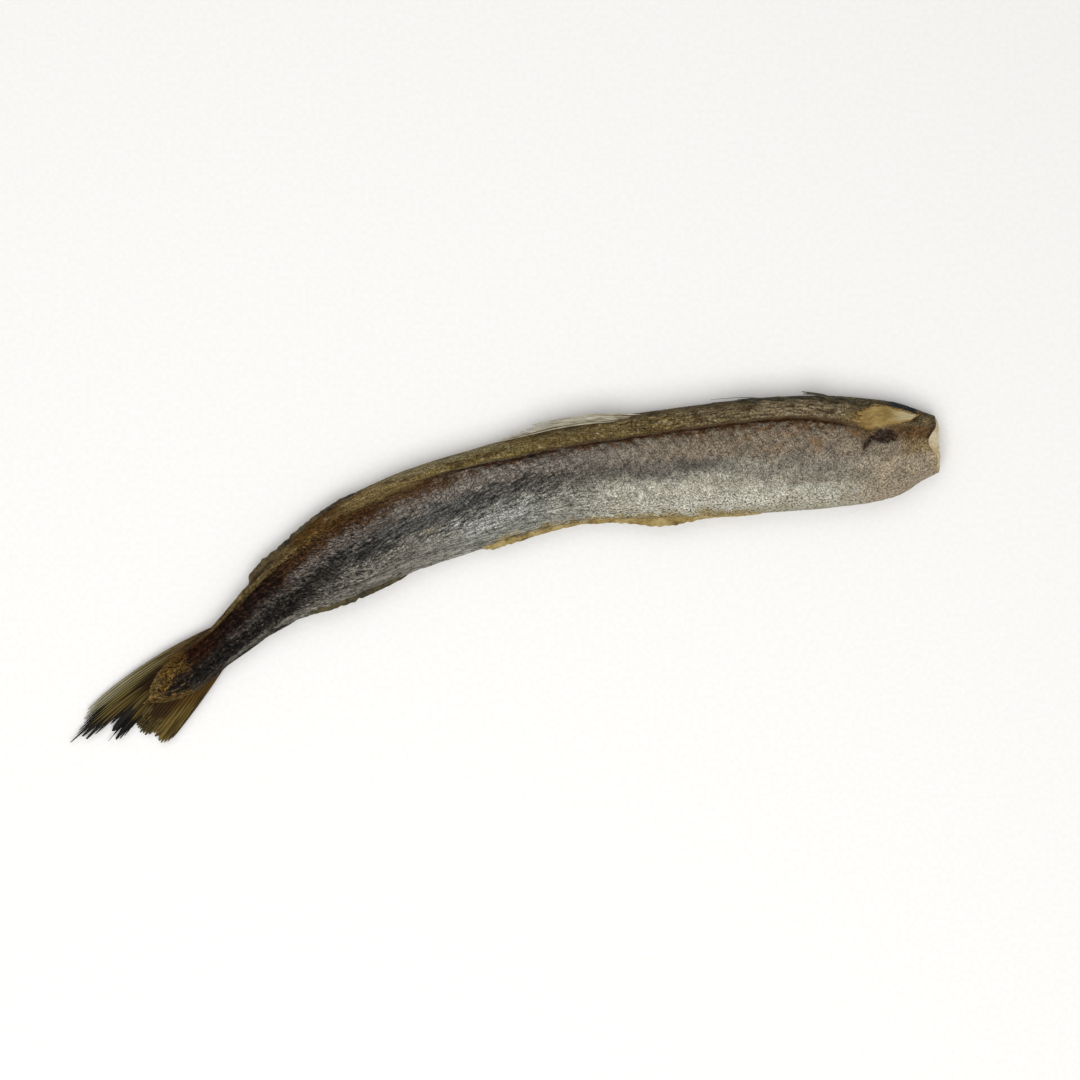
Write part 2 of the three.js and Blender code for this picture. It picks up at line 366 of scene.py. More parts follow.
print("half thickness at mid length in mm", round(section_thickness(BODY_LENGTH / 2, 0.0), 1))

# %% Plain form
# The cut slants, the belly is slit behind it, and the flesh ends in a ragged tongue on the tail fin.
CUT_SLANT = 2.2
CUT_SLANT_PLACE = 0.1
CUT_SLANT_WIDTH = 0.45
CUT_SLANT_LENGTH = 12
CUT_WALL = 0.26
CUT_RAGS = 0.4
CUT_RAGS_LENGTH = 5
CLEFT_DEPTH = 2.2
CLEFT_HALF_ANGLE = 0.13
CLEFT_END = (20, 52)
TIP_REACH = 2.6
TIP_PLACE = -0.3
TIP_WIDTH = 0.5
TIP_RAGS = 0.9
TIP_ZONE = (174, 185)


def rags(share, over, count, seed):
    """Smooth noise round the body. The count sets how many waves there are across it."""
    return noise.noise(Vector((count * share, count * over, seed)))


def form(s, turn, scale=1.0):
    """A point of the plain body."""
    place, tailward, back = spine(s)
    share = -math.cos(turn)
    over = math.sin(turn)
    bent = math.remainder(turn, 2 * math.pi)
    cleft = CLEFT_DEPTH * bell(bent, CLEFT_HALF_ANGLE) * (1 - rise(s, *CLEFT_END))
    height = section_thickness(s, share) * (1 if over > 0 else -UNDER_SHARE)
    cut = bell(share - CUT_SLANT_PLACE, CUT_SLANT_WIDTH) * max(0.0, over)
    cut *= 1 - rise(s, 0, CUT_SLANT_LENGTH)
    ragged = CUT_RAGS * rags(share, over, count=2.3, seed=5.1) * (1 - rise(s, 0, CUT_RAGS_LENGTH))
    tip = TIP_REACH * bell(share - TIP_PLACE, TIP_WIDTH) + TIP_RAGS * rags(share, over, count=6, seed=9.4)
    slant = CUT_SLANT * cut * rise(scale, 1 - CUT_WALL, 1) + ragged + tip * rise(s, *TIP_ZONE)
    point = place + back * ((half_depth(s, share) * share + cleft) * scale) + tailward * slant
    point.z = max(0.0, point.z + height * scale)
    return point


print("top of the plain body in mm", [round(x, 1) for x in form(BODY_LENGTH / 4, math.pi / 2)])

# %% [markdown]
# ## The shrunken skin
# Drying pulls the skin into lengthwise wrinkles, sinks it between the muscles, and leaves a pebbled
# grain. A displacement texture could fake that, but an exported model keeps only real shape, so the
# relief is part of the mesh: a height over the plain form, added along the normal. The wrinkles are the
# zero lines of a stretched noise, which gives long thin grooves that never repeat. Beside the height, each
# point keeps how deep in a groove it lies, and the material paints shade into the skin there.

# %% Wrinkle lines
WRINKLE_LENGTH = 15.0
WRINKLE_SPACING = 1.9
WRINKLE_SEED = 4.1
WRINKLE_LINE = 0.2
SIDE_SHIFT = 1.3


def waves(place, length, width, seed):
    """Smooth noise, from about -1 to 1, stretched along the body and joined at the belly and the back."""
    s, across, over = place
    return noise.noise(Vector((s / length, across / width, seed + SIDE_SHIFT * over)))


def groove_lines(place, length, width, seed, line):
    """Thin lines along the body: 1 in the middle of a line and 0 away from it."""
    return max(0.0, 1 - abs(waves(place, length, width, seed)) / line)


wrinkle = (WRINKLE_LENGTH, WRINKLE_SPACING, WRINKLE_SEED, WRINKLE_LINE)
crossed = [groove_lines((s, 0.0, 1.0), *wrinkle) > 0 for s in range(int(BODY_LENGTH))]
print("share of the mid flank in a wrinkle", round(sum(crossed) / len(crossed), 2))

# %% Torn patch and dark scar
# The two edges of the bare patch behind the cut: places along, and shares across.
PATCH_LOW = (
    [3.6, 4.3, 5.7, 7.8, 11.5, 14.1, 15.8, 17.2, 18.2],
    [0.81, 0.75, 0.61, 0.51, 0.44, 0.36, 0.36, 0.47, 0.6],
)
PATCH_HIGH = (
    [3.6, 4.3, 7.0, 9.8, 12.4, 14.5, 16.1, 17.4, 18.2],
    [0.83, 0.84, 0.83, 0.86, 0.89, 0.84, 0.77, 0.7, 0.62],
)
PATCH_START = 3.6
PATCH_END = 18.2
PATCH_RIM = 0.02
TEAR = 0.03
REAR_TEAR = 0.05
REAR_TEAR_ZONE = (10, 16)
UPPER_TEAR = 0.6
# The scar and its tail: place along, share across, half length in mm and half height as a share.
SCAR = (11.6, 0.24, 2.9, 0.16)
SCAR_TAIL = (15.6, 0.12, 0.7, 0.15)
SCAR_TAIL_SLANT = 9
SCAR_TAIL_MIDDLE = 0.14
SCAR_WOBBLE = 0.35
SCAR_EDGE = (0.7, 1.15)


@lru_cache(maxsize=None)
def patch_edges(s):
    """The ragged lower and upper edge of the bare patch, as shares across."""
    tear = TEAR + REAR_TEAR * rise(s, *REAR_TEAR_ZONE)
    tear *= waves((s, 0, 0), length=1.1, width=1.0, seed=3.3)
    return float(np.interp(s, *PATCH_LOW)) + tear, float(np.interp(s, *PATCH_HIGH)) + UPPER_TEAR * tear


def torn_patch(s, share):
    """How far a point is inside the bare patch: 1 in its middle, 0 at its edge, below 0 outside."""
    if not PATCH_START < s < PATCH_END:
        return -1.0
    low, high = patch_edges(s)
    return 1 - abs(2 * share - low - high) / (high - low + PATCH_RIM)


def dark_scar(s, share):
    """The dark shrunken spot under the torn patch, with its tail: 1 inside and 0 outside."""
    wobble = SCAR_WOBBLE * waves((s, 12 * share, 0), length=1.4, width=1.4, seed=8.8)
    place, across, length, height = SCAR
    spot = math.hypot((s - place) / length, (share - across) / height)
    place, across, length, height = SCAR_TAIL
    bent = s - place + SCAR_TAIL_SLANT * (share - SCAR_TAIL_MIDDLE)
    tail = math.hypot(bent / length, (share - across) / height)
    return 1 - rise(min(spot, tail) + wobble, *SCAR_EDGE)


print("length of the torn patch in mm", round(PATCH_END - PATCH_START, 1))

# %% Muscle blocks
MUSCLE_SPACING = 2.6
MUSCLE_START = (18, 30)
MUSCLE_END = (92, 114)
MUSCLE_SPREAD = (0.2, 0.38)
ZIGZAG_SLANT = 0.8
ZIGZAG_WANDER = 0.9


def muscle_waves(s, share, over):
    """The blocks of muscle under the upper flank, in zigzag waves: 1 on a block, -1 between two."""
    _, depth, _, fold, line = station(s)
    middle = (fold + line) / 2
    shown = 1 - rise(abs(share - middle), *MUSCLE_SPREAD)
    shown = shown * rise(s, *MUSCLE_START) * (1 - rise(s, *MUSCLE_END))
    zigzag = s - ZIGZAG_SLANT * abs(half_depth(s, share) * share - depth * middle)
    zigzag += ZIGZAG_WANDER * waves((s, BODY_DEPTH / 2 * share, over), length=6, width=4, seed=21.0)
    return shown * math.sin(2 * math.pi * zigzag / MUSCLE_SPACING)


print("muscle blocks along the flank", round((MUSCLE_END[1] - MUSCLE_START[0]) / MUSCLE_SPACING))

# %% Wrinkles and crease
# Zones along the body, in mm from the cut. A zone begins at its first value and is full at the second. One
# named END begins to fade at its first value and has faded at the second. A LOSS is the share that goes.
REAR = (88, 128)
STALK = (130, 156)
STALK_END = (172, 182)
TONGUE = (167, 174)
TONGUE_LOSS = 0.7
FOLDED = (14, 19)
FOLDED_END = (150, 176)
FOLDED_LOSS = 0.6
NOTCH_END = (100, 116)
NOTCH_LOSS = 0.8
BELLY_WRINKLES = (45, 80)
SLANTED = (70, 92)
SLANTED_END = (125, 150)
# A zone across, and the widths and the shift of two bands, all as shares.
BELLY_EDGE = (-0.5, -0.1)
NOTCH_WIDTH = 0.03
SLANTED_WIDTH = 0.3
SLANTED_SHIFT = 0.08
# Depths in mm: of the wrinkles everywhere, of what the belly, the rear and the stalk add, and of the rest.
WRINKLE_DEPTH = 0.03
BELLY_DEPTH = 0.1
REAR_DEPTH = 0.12
STALK_DEPTH = 0.06
SLANT_DEPTH = 0.12
NOTCH_DEPTH = 0.4
# Fine wrinkles are shallower than broad ones. Both wander, and the slanted ones climb across the flank.
FINE_SHARE = 0.6
WRINKLE_WANDER = 0.9
CLIMB = 0.27
fine_wrinkle = (WRINKLE_LENGTH / 2, WRINKLE_SPACING / 1.7, 9.2, 0.24)
# How much painted shade each kind of groove gets.
NOTCH_SHADE = 0.12
WRINKLE_SHADE = 2.6
BROAD_SHADE = 0.8
FINE_SHADE = 0.45
SLANT_SHADE = 0.75


def folded(s):
    """How far the back is folded off the flank, from 0 to 1."""
    return rise(s, *FOLDED) * (1 - FOLDED_LOSS * rise(s, *FOLDED_END))


def grooves(s, share, over):
    """Depth of the wrinkles and of the crease in mm, and how much painted shade they get."""
    fold, line = station(s)[3:]
    flank = (s, BODY_DEPTH / 2 * share, over)
    belly = 1 - rise(share, *BELLY_EDGE)
    stalk = rise(s, *STALK) * (1 - rise(s, *STALK_END))
    wander = (s, flank[1] + WRINKLE_WANDER * waves(flank, length=20, width=6, seed=7.7), over)
    broad = groove_lines(wander, *wrinkle)
    fine = groove_lines(wander, *fine_wrinkle)
    wrinkled = WRINKLE_DEPTH + BELLY_DEPTH * belly * rise(s, *BELLY_WRINKLES)
    wrinkled += REAR_DEPTH * rise(s, *REAR)
    wrinkled += STALK_DEPTH * stalk
    wrinkled *= 1 - TONGUE_LOSS * rise(s, *TONGUE)
    slanted = groove_lines((s, flank[1] + CLIMB * s, over), length=9, width=1.1, seed=12.5, line=0.2)
    near_line = bell(share - line + SLANTED_SHIFT, SLANTED_WIDTH) * rise(s, *SLANTED)
    near_line *= 1 - rise(s, *SLANTED_END)
    notch = bell(share - fold, NOTCH_WIDTH) * folded(s) * (1 - NOTCH_LOSS * rise(s, *NOTCH_END))
    depth = wrinkled * (broad + FINE_SHARE * fine) + SLANT_DEPTH * near_line * slanted
    depth += NOTCH_DEPTH * notch
    painted_shade = NOTCH_SHADE * notch + WRINKLE_SHADE * wrinkled * (BROAD_SHADE * broad + FINE_SHADE * fine)
    painted_shade += SLANT_SHADE * near_line * slanted
    return depth, painted_shade


PROBES = (30.0, 75.0, 120.0, 160.0)
print("wrinkles at mid flank in mm", [round(grooves(s, 0.0, 1.0)[0], 2) for s in PROBES])

# %% Relief of the skin
# Heights and depths in mm, and the width of a pebble and of a bead.
DENT = 0.3
REAR_DENT = 0.15
PEBBLE = 0.8
PEBBLE_HEIGHT = 0.05
RIDGE_HEIGHT = 0.5
STRIPE_HEIGHT = 0.07
MUSCLE_HEIGHT = 0.06
BEAD = 0.8
BEAD_HEIGHT = 0.16
PATCH_DEPTH = 0.35
SCAR_DEPTH = 0.3
CRUMPLE_HEIGHT = 0.25
# The belly has higher pebbles, the ridge leans to the crease, and the patch has a steep wall.
BELLY_PEBBLES = 0.5
STRIPE_EDGE = 0.1
RIDGE_LEAN = 0.7
PATCH_WALL = 4
# Painted shade in the hollows between muscle blocks and in the valleys of the scar's crumples.
MUSCLE_SHADE = 0.16
CRUMPLE_SHADE = 0.9
# The relief fades at both ends of the body, in mm from the cut.
RELIEF_START = (0, 2)
RELIEF_END = (180, 186)
RELIEF_LOSS = 0.6


def relief(s, turn):
    """Height of the skin over the plain form in mm, and its painted shade in grooves and hollows, from 0
    to 1.
    """
    fold = station(s)[3]
    share = -math.cos(turn)
    over = math.sin(turn)
    flank = (s, BODY_DEPTH / 2 * share, over)
    plain = (s, half_depth(s, share) * share, over)
    belly = 1 - rise(share, *BELLY_EDGE)
    strip = rise(share, fold, fold + STRIPE_EDGE)
    dents = (DENT + REAR_DENT * rise(s, *REAR)) * waves(flank, length=24, width=8, seed=1.3)
    pebbles = PEBBLE_HEIGHT * waves(plain, PEBBLE, PEBBLE, seed=2.2) * (1 + BELLY_PEBBLES * belly)
    up_ridge = min(max((share - fold) / (1 - fold), 0.0), 1.0)
    ridge = RIDGE_HEIGHT * math.sin(math.pi * up_ridge**RIDGE_LEAN) * folded(s)
    stripes = STRIPE_HEIGHT * strip * waves(flank, length=14, width=0.8, seed=33.0)
    muscle = muscle_waves(s, share, over)
    cells = noise.voronoi(Vector((s / BEAD, plain[1] / BEAD, over)))[0]
    beads = BEAD_HEIGHT * rise(s, *TONGUE) * (0.5 - cells[0])
    patch = max(0.0, torn_patch(s, share)) if over > 0 else 0.0
    scar = dark_scar(s, share) if over > 0 else 0.0
    crumple = scar * waves(plain, length=1.3, width=0.7, seed=41.0)
    depth, groove = grooves(s, share, over)

    height = dents + pebbles + ridge + stripes + MUSCLE_HEIGHT * muscle + beads
    height -= depth
    height -= PATCH_DEPTH * min(1.0, PATCH_WALL * patch) + SCAR_DEPTH * scar - CRUMPLE_HEIGHT * crumple
    height *= rise(s, *RELIEF_START)
    height *= 1 - RELIEF_LOSS * rise(s, *RELIEF_END)
    groove += MUSCLE_SHADE * max(0.0, -muscle) + CRUMPLE_SHADE * max(0.0, -crumple)
    return height, min(1.0, groove)


print("relief at mid flank in mm", [round(relief(s, 1.5)[0], 2) for s in PROBES])

# %% Skin over the form
STEP_ALONG = 0.3
STEP_ROUND = 0.02


def skin(s, turn, lift=0.0):
    """A point of the wrinkled skin, lifted along the normal, and its painted shade in the grooves there.
    """
    lengthwise = form(s + STEP_ALONG, turn) - form(s - STEP_ALONG, turn)
    crosswise = form(s, turn + STEP_ROUND) - form(s, turn - STEP_ROUND)
    normal = crosswise.cross(lengthwise).normalized()
    height, groove = relief(s, turn)
    point = form(s, turn) + normal * (height + lift)
    point.z = max(0.0, point.z)
    return point, groove


print("skin at mid flank in mm", [round(x, 1) for x in skin(75.0, 1.5)[0]])

# %% [markdown]
# ## Body mesh
# The body could be lofted ring by ring, but a flat grid is simpler: it is wrapped round the form, and its
# rows and columns become the lengthwise and crosswise coordinates of the skin at once. The first rows lie
# in the hollow of the cut end, from its bottom out to the rim, so that skin and cut flesh are one closed
# shell. The columns are closer together on the flank that shows. Two UV maps are kept: one counts bands
# of colour from the belly to the back, with the side line and the crease always at the same value, and
# one is in millimetres for the grain.

# %% Round the body and into the cut
UPPER_COLUMNS = 0.62
RIM_AT = 0.6
CUT_HOLLOW = 6.0
CUT_RIM = 0.35
CUT_FLAKES = 0.5
HOLLOW_BOTTOM = 0.06


def turn_at(v):
    """The turn round the body at a share of the columns."""
    if v <= UPPER_COLUMNS:
        return math.pi * v / UPPER_COLUMNS
    return math.pi * (1 + (v - UPPER_COLUMNS) / (1 - UPPER_COLUMNS))


def cut_point(t, turn):
    """A point of the cut: from the bottom of the hollow at t = 0, over the rim, to the skin at t = 1."""
    _, tailward, _ = spine(0.0)
    mouth = 1 - CUT_WALL
    flakes = waves((9 * t, 3 * math.cos(turn), math.sin(turn)), length=1.3, width=0.5, seed=6.6)
    flakes *= math.sin(math.pi * t)
    if t < RIM_AT:
        q = t / RIM_AT
        scale = mouth * lerp(HOLLOW_BOTTOM, 1, q)
        inset = CUT_HOLLOW * math.sqrt(1 - q * q)
    else:
        q = (t - RIM_AT) / (1 - RIM_AT)
        scale = lerp(mouth, 1, q)
        inset = -CUT_RIM * math.sin(math.pi * q)
    return form(0.0, turn, scale) + tailward * (inset + CUT_FLAKES * flakes)


print("bottom of the hollow in mm", [round(x, 1) for x in cut_point(0.0, math.pi / 2)])

# %% Bands, stains and a painted shadow
LINE_BAND = 0.45
FOLD_BAND = 0.75
PATCH_EDGE = (-0.06, 0.12)
# Painted shadow at the lip of the cut: reach in mm, limits across as shares, and strength.
LIP_LENGTH = (0.3, 1.2)
LIP_LOW = (0.05, 0.35)
LIP_HIGH = (0.5, 0.75)
LIP = 0.75
MUSCLE_RUST = 0.22
# Small marks on the skin: place along, share across, half length in mm, half height as a share, kind and
# strength.
AMBER, DARK, RUST = range(3)
MARKS = [
    (18.2, 0.56, 2.0, 0.1, AMBER, 0.5),
    (137.0, 0.66, 6.0, 0.1, AMBER, 0.4),
    (113.5, -0.33, 1.0, 0.06, AMBER, 0.5),
    (4.8, 0.72, 0.5, 0.12, DARK, 0.7),
    (88.0, 0.55, 0.9, 0.06, DARK, 0.9),
    (173.8, 0.52, 1.0, 0.15, RUST, 0.95),
]


def band(s, share):
    """Place across the flank, with the side line and the crease at fixed values."""
    fold, line = station(s)[3:]
    return float(np.interp(share, [-1, line, fold, 1], [0, LINE_BAND, FOLD_BAND, 1]))


def stains_and_lip_shadow(s, turn):
    """What colours the skin over its bands: bare amber flesh, dark pigment, painted lip shadow and rust
    red.
    """
    share = -math.cos(turn)
    amounts = [0.0, 0.0, 0.0]
    if math.sin(turn) >= 0:
        amounts[AMBER] = rise(torn_patch(s, share), *PATCH_EDGE)
        # Painted shadow along the upper flank at the edge of the cut, laid in with the dark pigment.
        lip = LIP * (1 - rise(s, *LIP_LENGTH)) * rise(share, *LIP_LOW) * (1 - rise(share, *LIP_HIGH))
        streaks = 0.95 + 0.8 * waves((s, 12 * share, 0), length=0.7, width=0.4, seed=51.0)
        amounts[DARK] = max(lip, dark_scar(s, share) * streaks)
        amounts[RUST] = MUSCLE_RUST * max(0.0, -muscle_waves(s, share, 1.0)) ** 2
        for place, across, length, height, kind, strength in MARKS:
            amount = strength * bell(s - place, length) * bell(share - across, height)
            amounts[kind] = max(amounts[kind], amount)
    return (*amounts, 1.0)


print("small marks", len(MARKS))

# %% Body mesh
CUT_ROWS = 22
SKIN_ROWS = 430
COLUMNS = 170
GIRTH_SHARE = 1.2
WELD = 1e-4


def sheet(rows, columns, uv_map=None):
    """A flat grid of side 1 round the origin, on demand with a UV map that runs from 0 to 1."""
    bm = bmesh.new()
    bmesh.ops.create_grid(bm, x_segments=rows, y_segments=columns, size=0.5)
    if uv_map:
        layer = bm.loops.layers.uv.new(uv_map)
        for face in bm.faces:
            for loop in face.loops:
                loop[layer].uv = (loop.vert.co.x + 0.5, loop.vert.co.y + 0.5)
    return bm


def body_mesh():
    """The closed shell of skin and cut flesh, with the maps and the values that the skin's nodes read."""
    rows = CUT_ROWS + SKIN_ROWS
    bm = sheet(rows, COLUMNS)
    bands = bm.loops.layers.uv.new("bands")
    grain = bm.loops.layers.uv.new("grain")
    groove = bm.verts.layers.float.new("groove")
    stain_and_shadow = bm.verts.layers.float_color.new("stains_and_lip_shadow")
    places = {}
    for vert in bm.verts:
        row = round((vert.co.x + 0.5) * rows) - CUT_ROWS
        places[vert] = (row, max(row, 0) * BODY_LENGTH / SKIN_ROWS, turn_at(round(vert.co.y + 0.5, 6)))
    for face in bm.faces:
        face.material_index = int(min(places[vert][0] for vert in face.verts) < 0)
        for loop in face.loops:
            _, s, turn = places[loop.vert]
            loop[bands].uv = (s, band(s, -math.cos(turn)))
            loop[grain].uv = (s, turn / math.pi * GIRTH_SHARE * sum(station(s)[:2]))
    for vert, (row, s, turn) in places.items():
        if row < 0:
            vert.co = cut_point(1 + row / CUT_ROWS, turn)
        else:
            vert.co, vert[groove] = skin(s, turn)
            vert[stain_and_shadow] = stains_and_lip_shadow(s, turn)
    bmesh.ops.remove_doubles(bm, verts=bm.verts, dist=WELD)
    bmesh.ops.holes_fill(bm, edges=bm.edges, sides=0)
    return bm


print("body grid", CUT_ROWS + SKIN_ROWS, "by", COLUMNS)

# %% [markdown]
# ## Dried skin
# Fresh skin is wet and silvery. Dried skin is a thin matt leather with a satin belly: the silver pigment
# is still there, but the surface is crossed by grooves and peppered with black pigment cells about half a
# millimetre wide. A single ramp from belly to back would make a striped tube. So the skin starts as
# silver, and pigments are laid over it one after another, each within its own limits along and across the
# body, as the real pigments lie over each other. Noise bends the limits, and pepper and hairlines break
# them up.

# %% Limits of a layer
# A layer is full between its two inner limits and gone at the outer ones. None leaves a side open.
ALL = (None, None, None, None)


def until(last, end):
    """Limits of a layer that is full up to one value and gone at the next."""
    return None, None, last, end


def past(start, full):
    """Limits of a layer that begins at one value and is full past the next."""
    return start, full, None, None


print("limits up to 13 and gone at 25", until(13, 25))

# %% Skin pigments
# Colour, strength, limits along in mm from the cut, limits across as bands, and flecks. Without flecks a
# pigment is even. Flecks are their width in mm and how much stays bare: at 0.46 about half, at 0.58
# nearly all.
SKIN_PIGMENTS = [
    # The skin is tan near the cut, and greys towards the tail.
    ("#8f816c", 0.9, until(13, 25), ALL),
    ("#8b8a81", 1.0, past(66, 92), ALL),
    ("#827d73", 1.0, past(102, 126), ALL),
    ("#6f6b62", 0.8, past(126, 140), ALL),
    ("#827a64", 0.6, (14, 24, 60, 72), until(0.03, 0.13)),
    ("#b3b3ad", 0.6, (88, 97, 104, 110), (0.12, 0.19, 0.25, 0.31)),
    # The flank over the side line is taupe, and darker towards the tail.
    ("#7c7161", 1.0, ALL, past(0.44, 0.53)),
    ("#7a736a", 1.0, past(52, 80), past(0.46, 0.54)),
    ("#665e56", 1.0, past(108, 130), past(0.46, 0.54)),
    # Near the cut the skin is thin, and amber flesh shines through.
    ("#7c6849", 0.9, until(5, 10), past(0.4, 0.52)),
    ("#563f26", 0.9, until(8, 12), past(0.58, 0.68)),
    ("#57432a", 0.8, (11, 14, 17, 21), (0.6, 0.68, 0.8, 0.84)),
    ("#a3906a", 0.7, until(0.6, 2.2), (0.06, 0.12, 0.5, 0.58), (0.8, 0.4)),
    ("#7d6040", 0.7, (14, 18, 38, 48), (0.52, 0.58, 0.68, 0.74), (2.4, 0.5)),
    # Over the belly the skin shades to a violet grey side line, which goes black towards the tail.
    ("#7a7266", 0.85, (12, 19, 36, 46), (0.24, 0.33, 0.48, 0.56)),
    ("#56514a", 0.9, (30, 56, 110, 124), (0.29, 0.43, 0.47, 0.54)),
    ("#565654", 0.8, (84, 106, 132, 142), (0.3, 0.43, 0.49, 0.55)),
    ("#2b2925", 0.92, past(116, 138), (0.32, 0.44, 0.49, 0.56)),
    # The crease rusts, and the rust spreads down the flank towards the tail.
    ("#4e3015", 0.85, (18, 26, 112, 122), (0.62, 0.725, 0.75, 0.765), (1.0, 0.42)),
    ("#4d361c", 0.9, past(98, 112), (0.58, 0.67, 0.755, 0.78)),
    ("#43280f", 0.8, (118, 126, 134, 142), (0.62, 0.68, 0.72, 0.76)),
    ("#341b00", 0.9, (17, 21, 100, 114), (0.728, 0.746, 0.753, 0.769), (2.4, 0.28)),
    # Silver flecks are left on the rear flank, and rust flecks over them.
    ("#8f8885", 0.5, (84, 104, 138, 150), (0.46, 0.52, 0.64, 0.7), (0.7, 0.5)),
    ("#3a2210", 0.75, (92, 110, 138, 150), (0.52, 0.6, 0.72, 0.76), (0.7, 0.55)),
    # The back is olive and mottled, with a darker edge: pigment and painted shade.
    ("#5f523a", 1.0, ALL, past(0.757, 0.78)),
    ("#7f725a", 0.8, (18, 22, 35, 41), (0.765, 0.79, 0.92, 0.96)),
    ("#62532f", 0.9, past(50, 58), past(0.765, 0.79)),
    ("#6c5e36", 1.0, (80, 96, 122, 130), past(0.755, 0.785)),
    ("#786640", 0.95, (108, 116, 125, 131), past(0.71, 0.74)),
    ("#7d7356", 0.85, (88, 98, 116, 123), past(0.8, 0.92)),
    ("#4a3212", 0.95, (126, 132, 140, 144), past(0.72, 0.75)),
    ("#6d5d3b", 0.95, (140, 145, 158, 162), past(0.72, 0.74)),
    ("#3f2d19", 0.75, past(16, 22), past(0.77, 0.8), (1.8, 0.51)),
    ("#857757", 0.7, (16, 22, 128, 140), (0.77, 0.8, 0.93, 0.98), (1.2, 0.52)),
    ("#a99e86", 0.6, (16, 22, 74, 86), (0.775, 0.79, 0.96, 0.99), (0.4, 0.55)),
    ("#4a3820", 0.6, (17, 21, 84, 96), (0.75, 0.757, 0.765, 0.81)),
    # Darker back edge: part pigment, part painted shade where the back turns from the light.
    ("#493d2a", 0.7, until(84, 92), past(0.9, 0.97)),
    ("#432c1a", 0.7, (24, 27, 33, 37), (0.81, 0.86, 0.9, 0.94), (0.8, 0.46)),
    # Blue black skin is left along the back edge near the cut, with a cream rim.
    ("#232a2b", 0.95, (1.5, 4.5, 9.5, 12.5), past(0.905, 0.925), (2.0, 0.3)),
    ("#2b302e", 0.85, (12, 13, 15.5, 17), (0.9, 0.93, 0.97, 0.985), (1.0, 0.4)),
    ("#2f332f", 0.85, (17, 20, 40, 44), past(0.92, 0.97), (1.2, 0.46)),
    ("#8c7f5f", 0.6, (13, 15, 18, 21), past(0.985, 0.99), (0.6, 0.46)),
    # The belly edge is amber beside the first belly fin.
    ("#85744d", 0.9, (36, 46, 98, 105), until(0.02, 0.07)),
    # The stalk is nearly black, with a red brown upper half, a grey belly edge and an olive back edge.
    ("#3c2615", 0.9, past(136, 142), (0.56, 0.64, 0.72, 0.745)),
    ("#180c07", 0.95, past(143, 150), (0.5, 0.58, 0.72, 0.74)),
    ("#1a0d07", 0.95, past(158, 163), (0.58, 0.64, 0.77, 0.85)),
    ("#342a19", 0.85, (145, 149, 153, 157), past(0.82, 0.88)),
    ("#443726", 0.7, (157, 161, 168, 172), past(0.84, 0.93)),
    ("#33200f", 0.85, (165, 170, 176, 180), past(0.7, 0.78)),
    ("#1c130d", 0.92, past(158, 166), (0.4, 0.47, 0.54, 0.62)),
    ("#260f05", 0.85, (166, 171, 173.5, 176), (0.56, 0.63, 0.72, 0.8)),
    ("#171411", 0.97, past(134, 148), (0.08, 0.27, 0.46, 0.54)),
    ("#45423a", 0.9, (150, 156, 168, 173), until(0.04, 0.16)),
    ("#2b221b", 0.9, past(168, 172), until(0.2, 0.3)),
    # Dark and pale flecks break up the rear and the stalk.
    ("#2e2c27", 0.75, (112, 124, 164, 170), until(0.24, 0.32), (0.7, 0.55)),
    ("#554c44", 0.45, (138, 150, 158, 166), (0.48, 0.52, 0.6, 0.66), (1.2, 0.48)),
    ("#625b54", 0.28, (118, 136, 160, 170), (0.1, 0.2, 0.54, 0.62), (0.6, 0.48)),
    ("#4f3320", 0.3, (138, 150, 176, 180), past(0.56, 0.62), (0.6, 0.5)),
    ("#6a615a", 0.5, (140, 150, 174, 179), (0.14, 0.24, 0.5, 0.58), (0.4, 0.56)),
    # The tongue of flesh on the tail fin is amber beside its dark streak, with pale beaded edges.
    ("#563f1b", 1.0, past(174, 177), past(0.56, 0.62)),
    ("#503b1c", 1.0, past(176, 179.5), until(0.26, 0.34)),
    ("#563f1b", 1.0, past(177.5, 181), past(0.5, 0.56)),
    ("#503b1c", 1.0, past(178.5, 182.5), until(0.38, 0.45)),
    ("#553f1e", 1.0, past(182, 184.5), ALL),
    ("#86703f", 0.4, past(175, 180), (0.04, 0.1, 0.94, 0.97), (0.5, 0.5)),
    ("#7d6d48", 0.7, past(175, 179), past(0.9, 0.95), (0.5, 0.44)),
    ("#7a6a42", 0.8, past(174, 178), until(0.08, 0.16), (0.5, 0.44)),
    ("#75663f", 0.7, past(183, 185), ALL, (0.6, 0.4)),
]
print("skin pigments", len(SKIN_PIGMENTS))

# %% Painting
FLECK_EDGE = 0.15


def within(tree, strength, lengthwise, across, along_limits, across_limits):
    """How strong a layer is: full between its inner limits, gone at the outer ones."""
    for value, (start, full, last, end) in ((lengthwise, along_limits), (across, across_limits)):
        for low, high in ((start, full), (end, last)):
            if low is None:
                continue
            limits = {"Value": value, "From Min": low, "From Max": high}
            edge = add(tree, "MapRange", limits, interpolation_type="SMOOTHSTEP")
            strength = add(tree, "Math", {0: edge, 1: strength}, operation="MULTIPLY")
    return strength


def paint(tree, colour, lengthwise, across, grain, pigments):
    """Lay pigments over a colour, each within its limits along and across the surface."""
    for pigment, strength, along_limits, across_limits, *flecks in pigments:
        amount = within(tree, strength, lengthwise, across, along_limits, across_limits)
        for width, bare in flecks:
            spots = add(tree, "TexNoise", {"Vector": grain, "Scale": 1 / width, "Detail": 3.0})
            limits = {"Value": spots, "From Min": bare, "From Max": bare + FLECK_EDGE}
            spots = add(tree, "MapRange", limits, interpolation_type="SMOOTHSTEP")
            amount = add(tree, "Math", {0: spots, 1: amount}, operation="MULTIPLY")
        layers = {0: amount, 6: colour, 7: linear(pigment)}
        colour = add(tree, "Mix", layers, output=2, data_type="RGBA")
    return colour


print("skin pigments in flecks", sum(len(row) == 5 for row in SKIN_PIGMENTS))

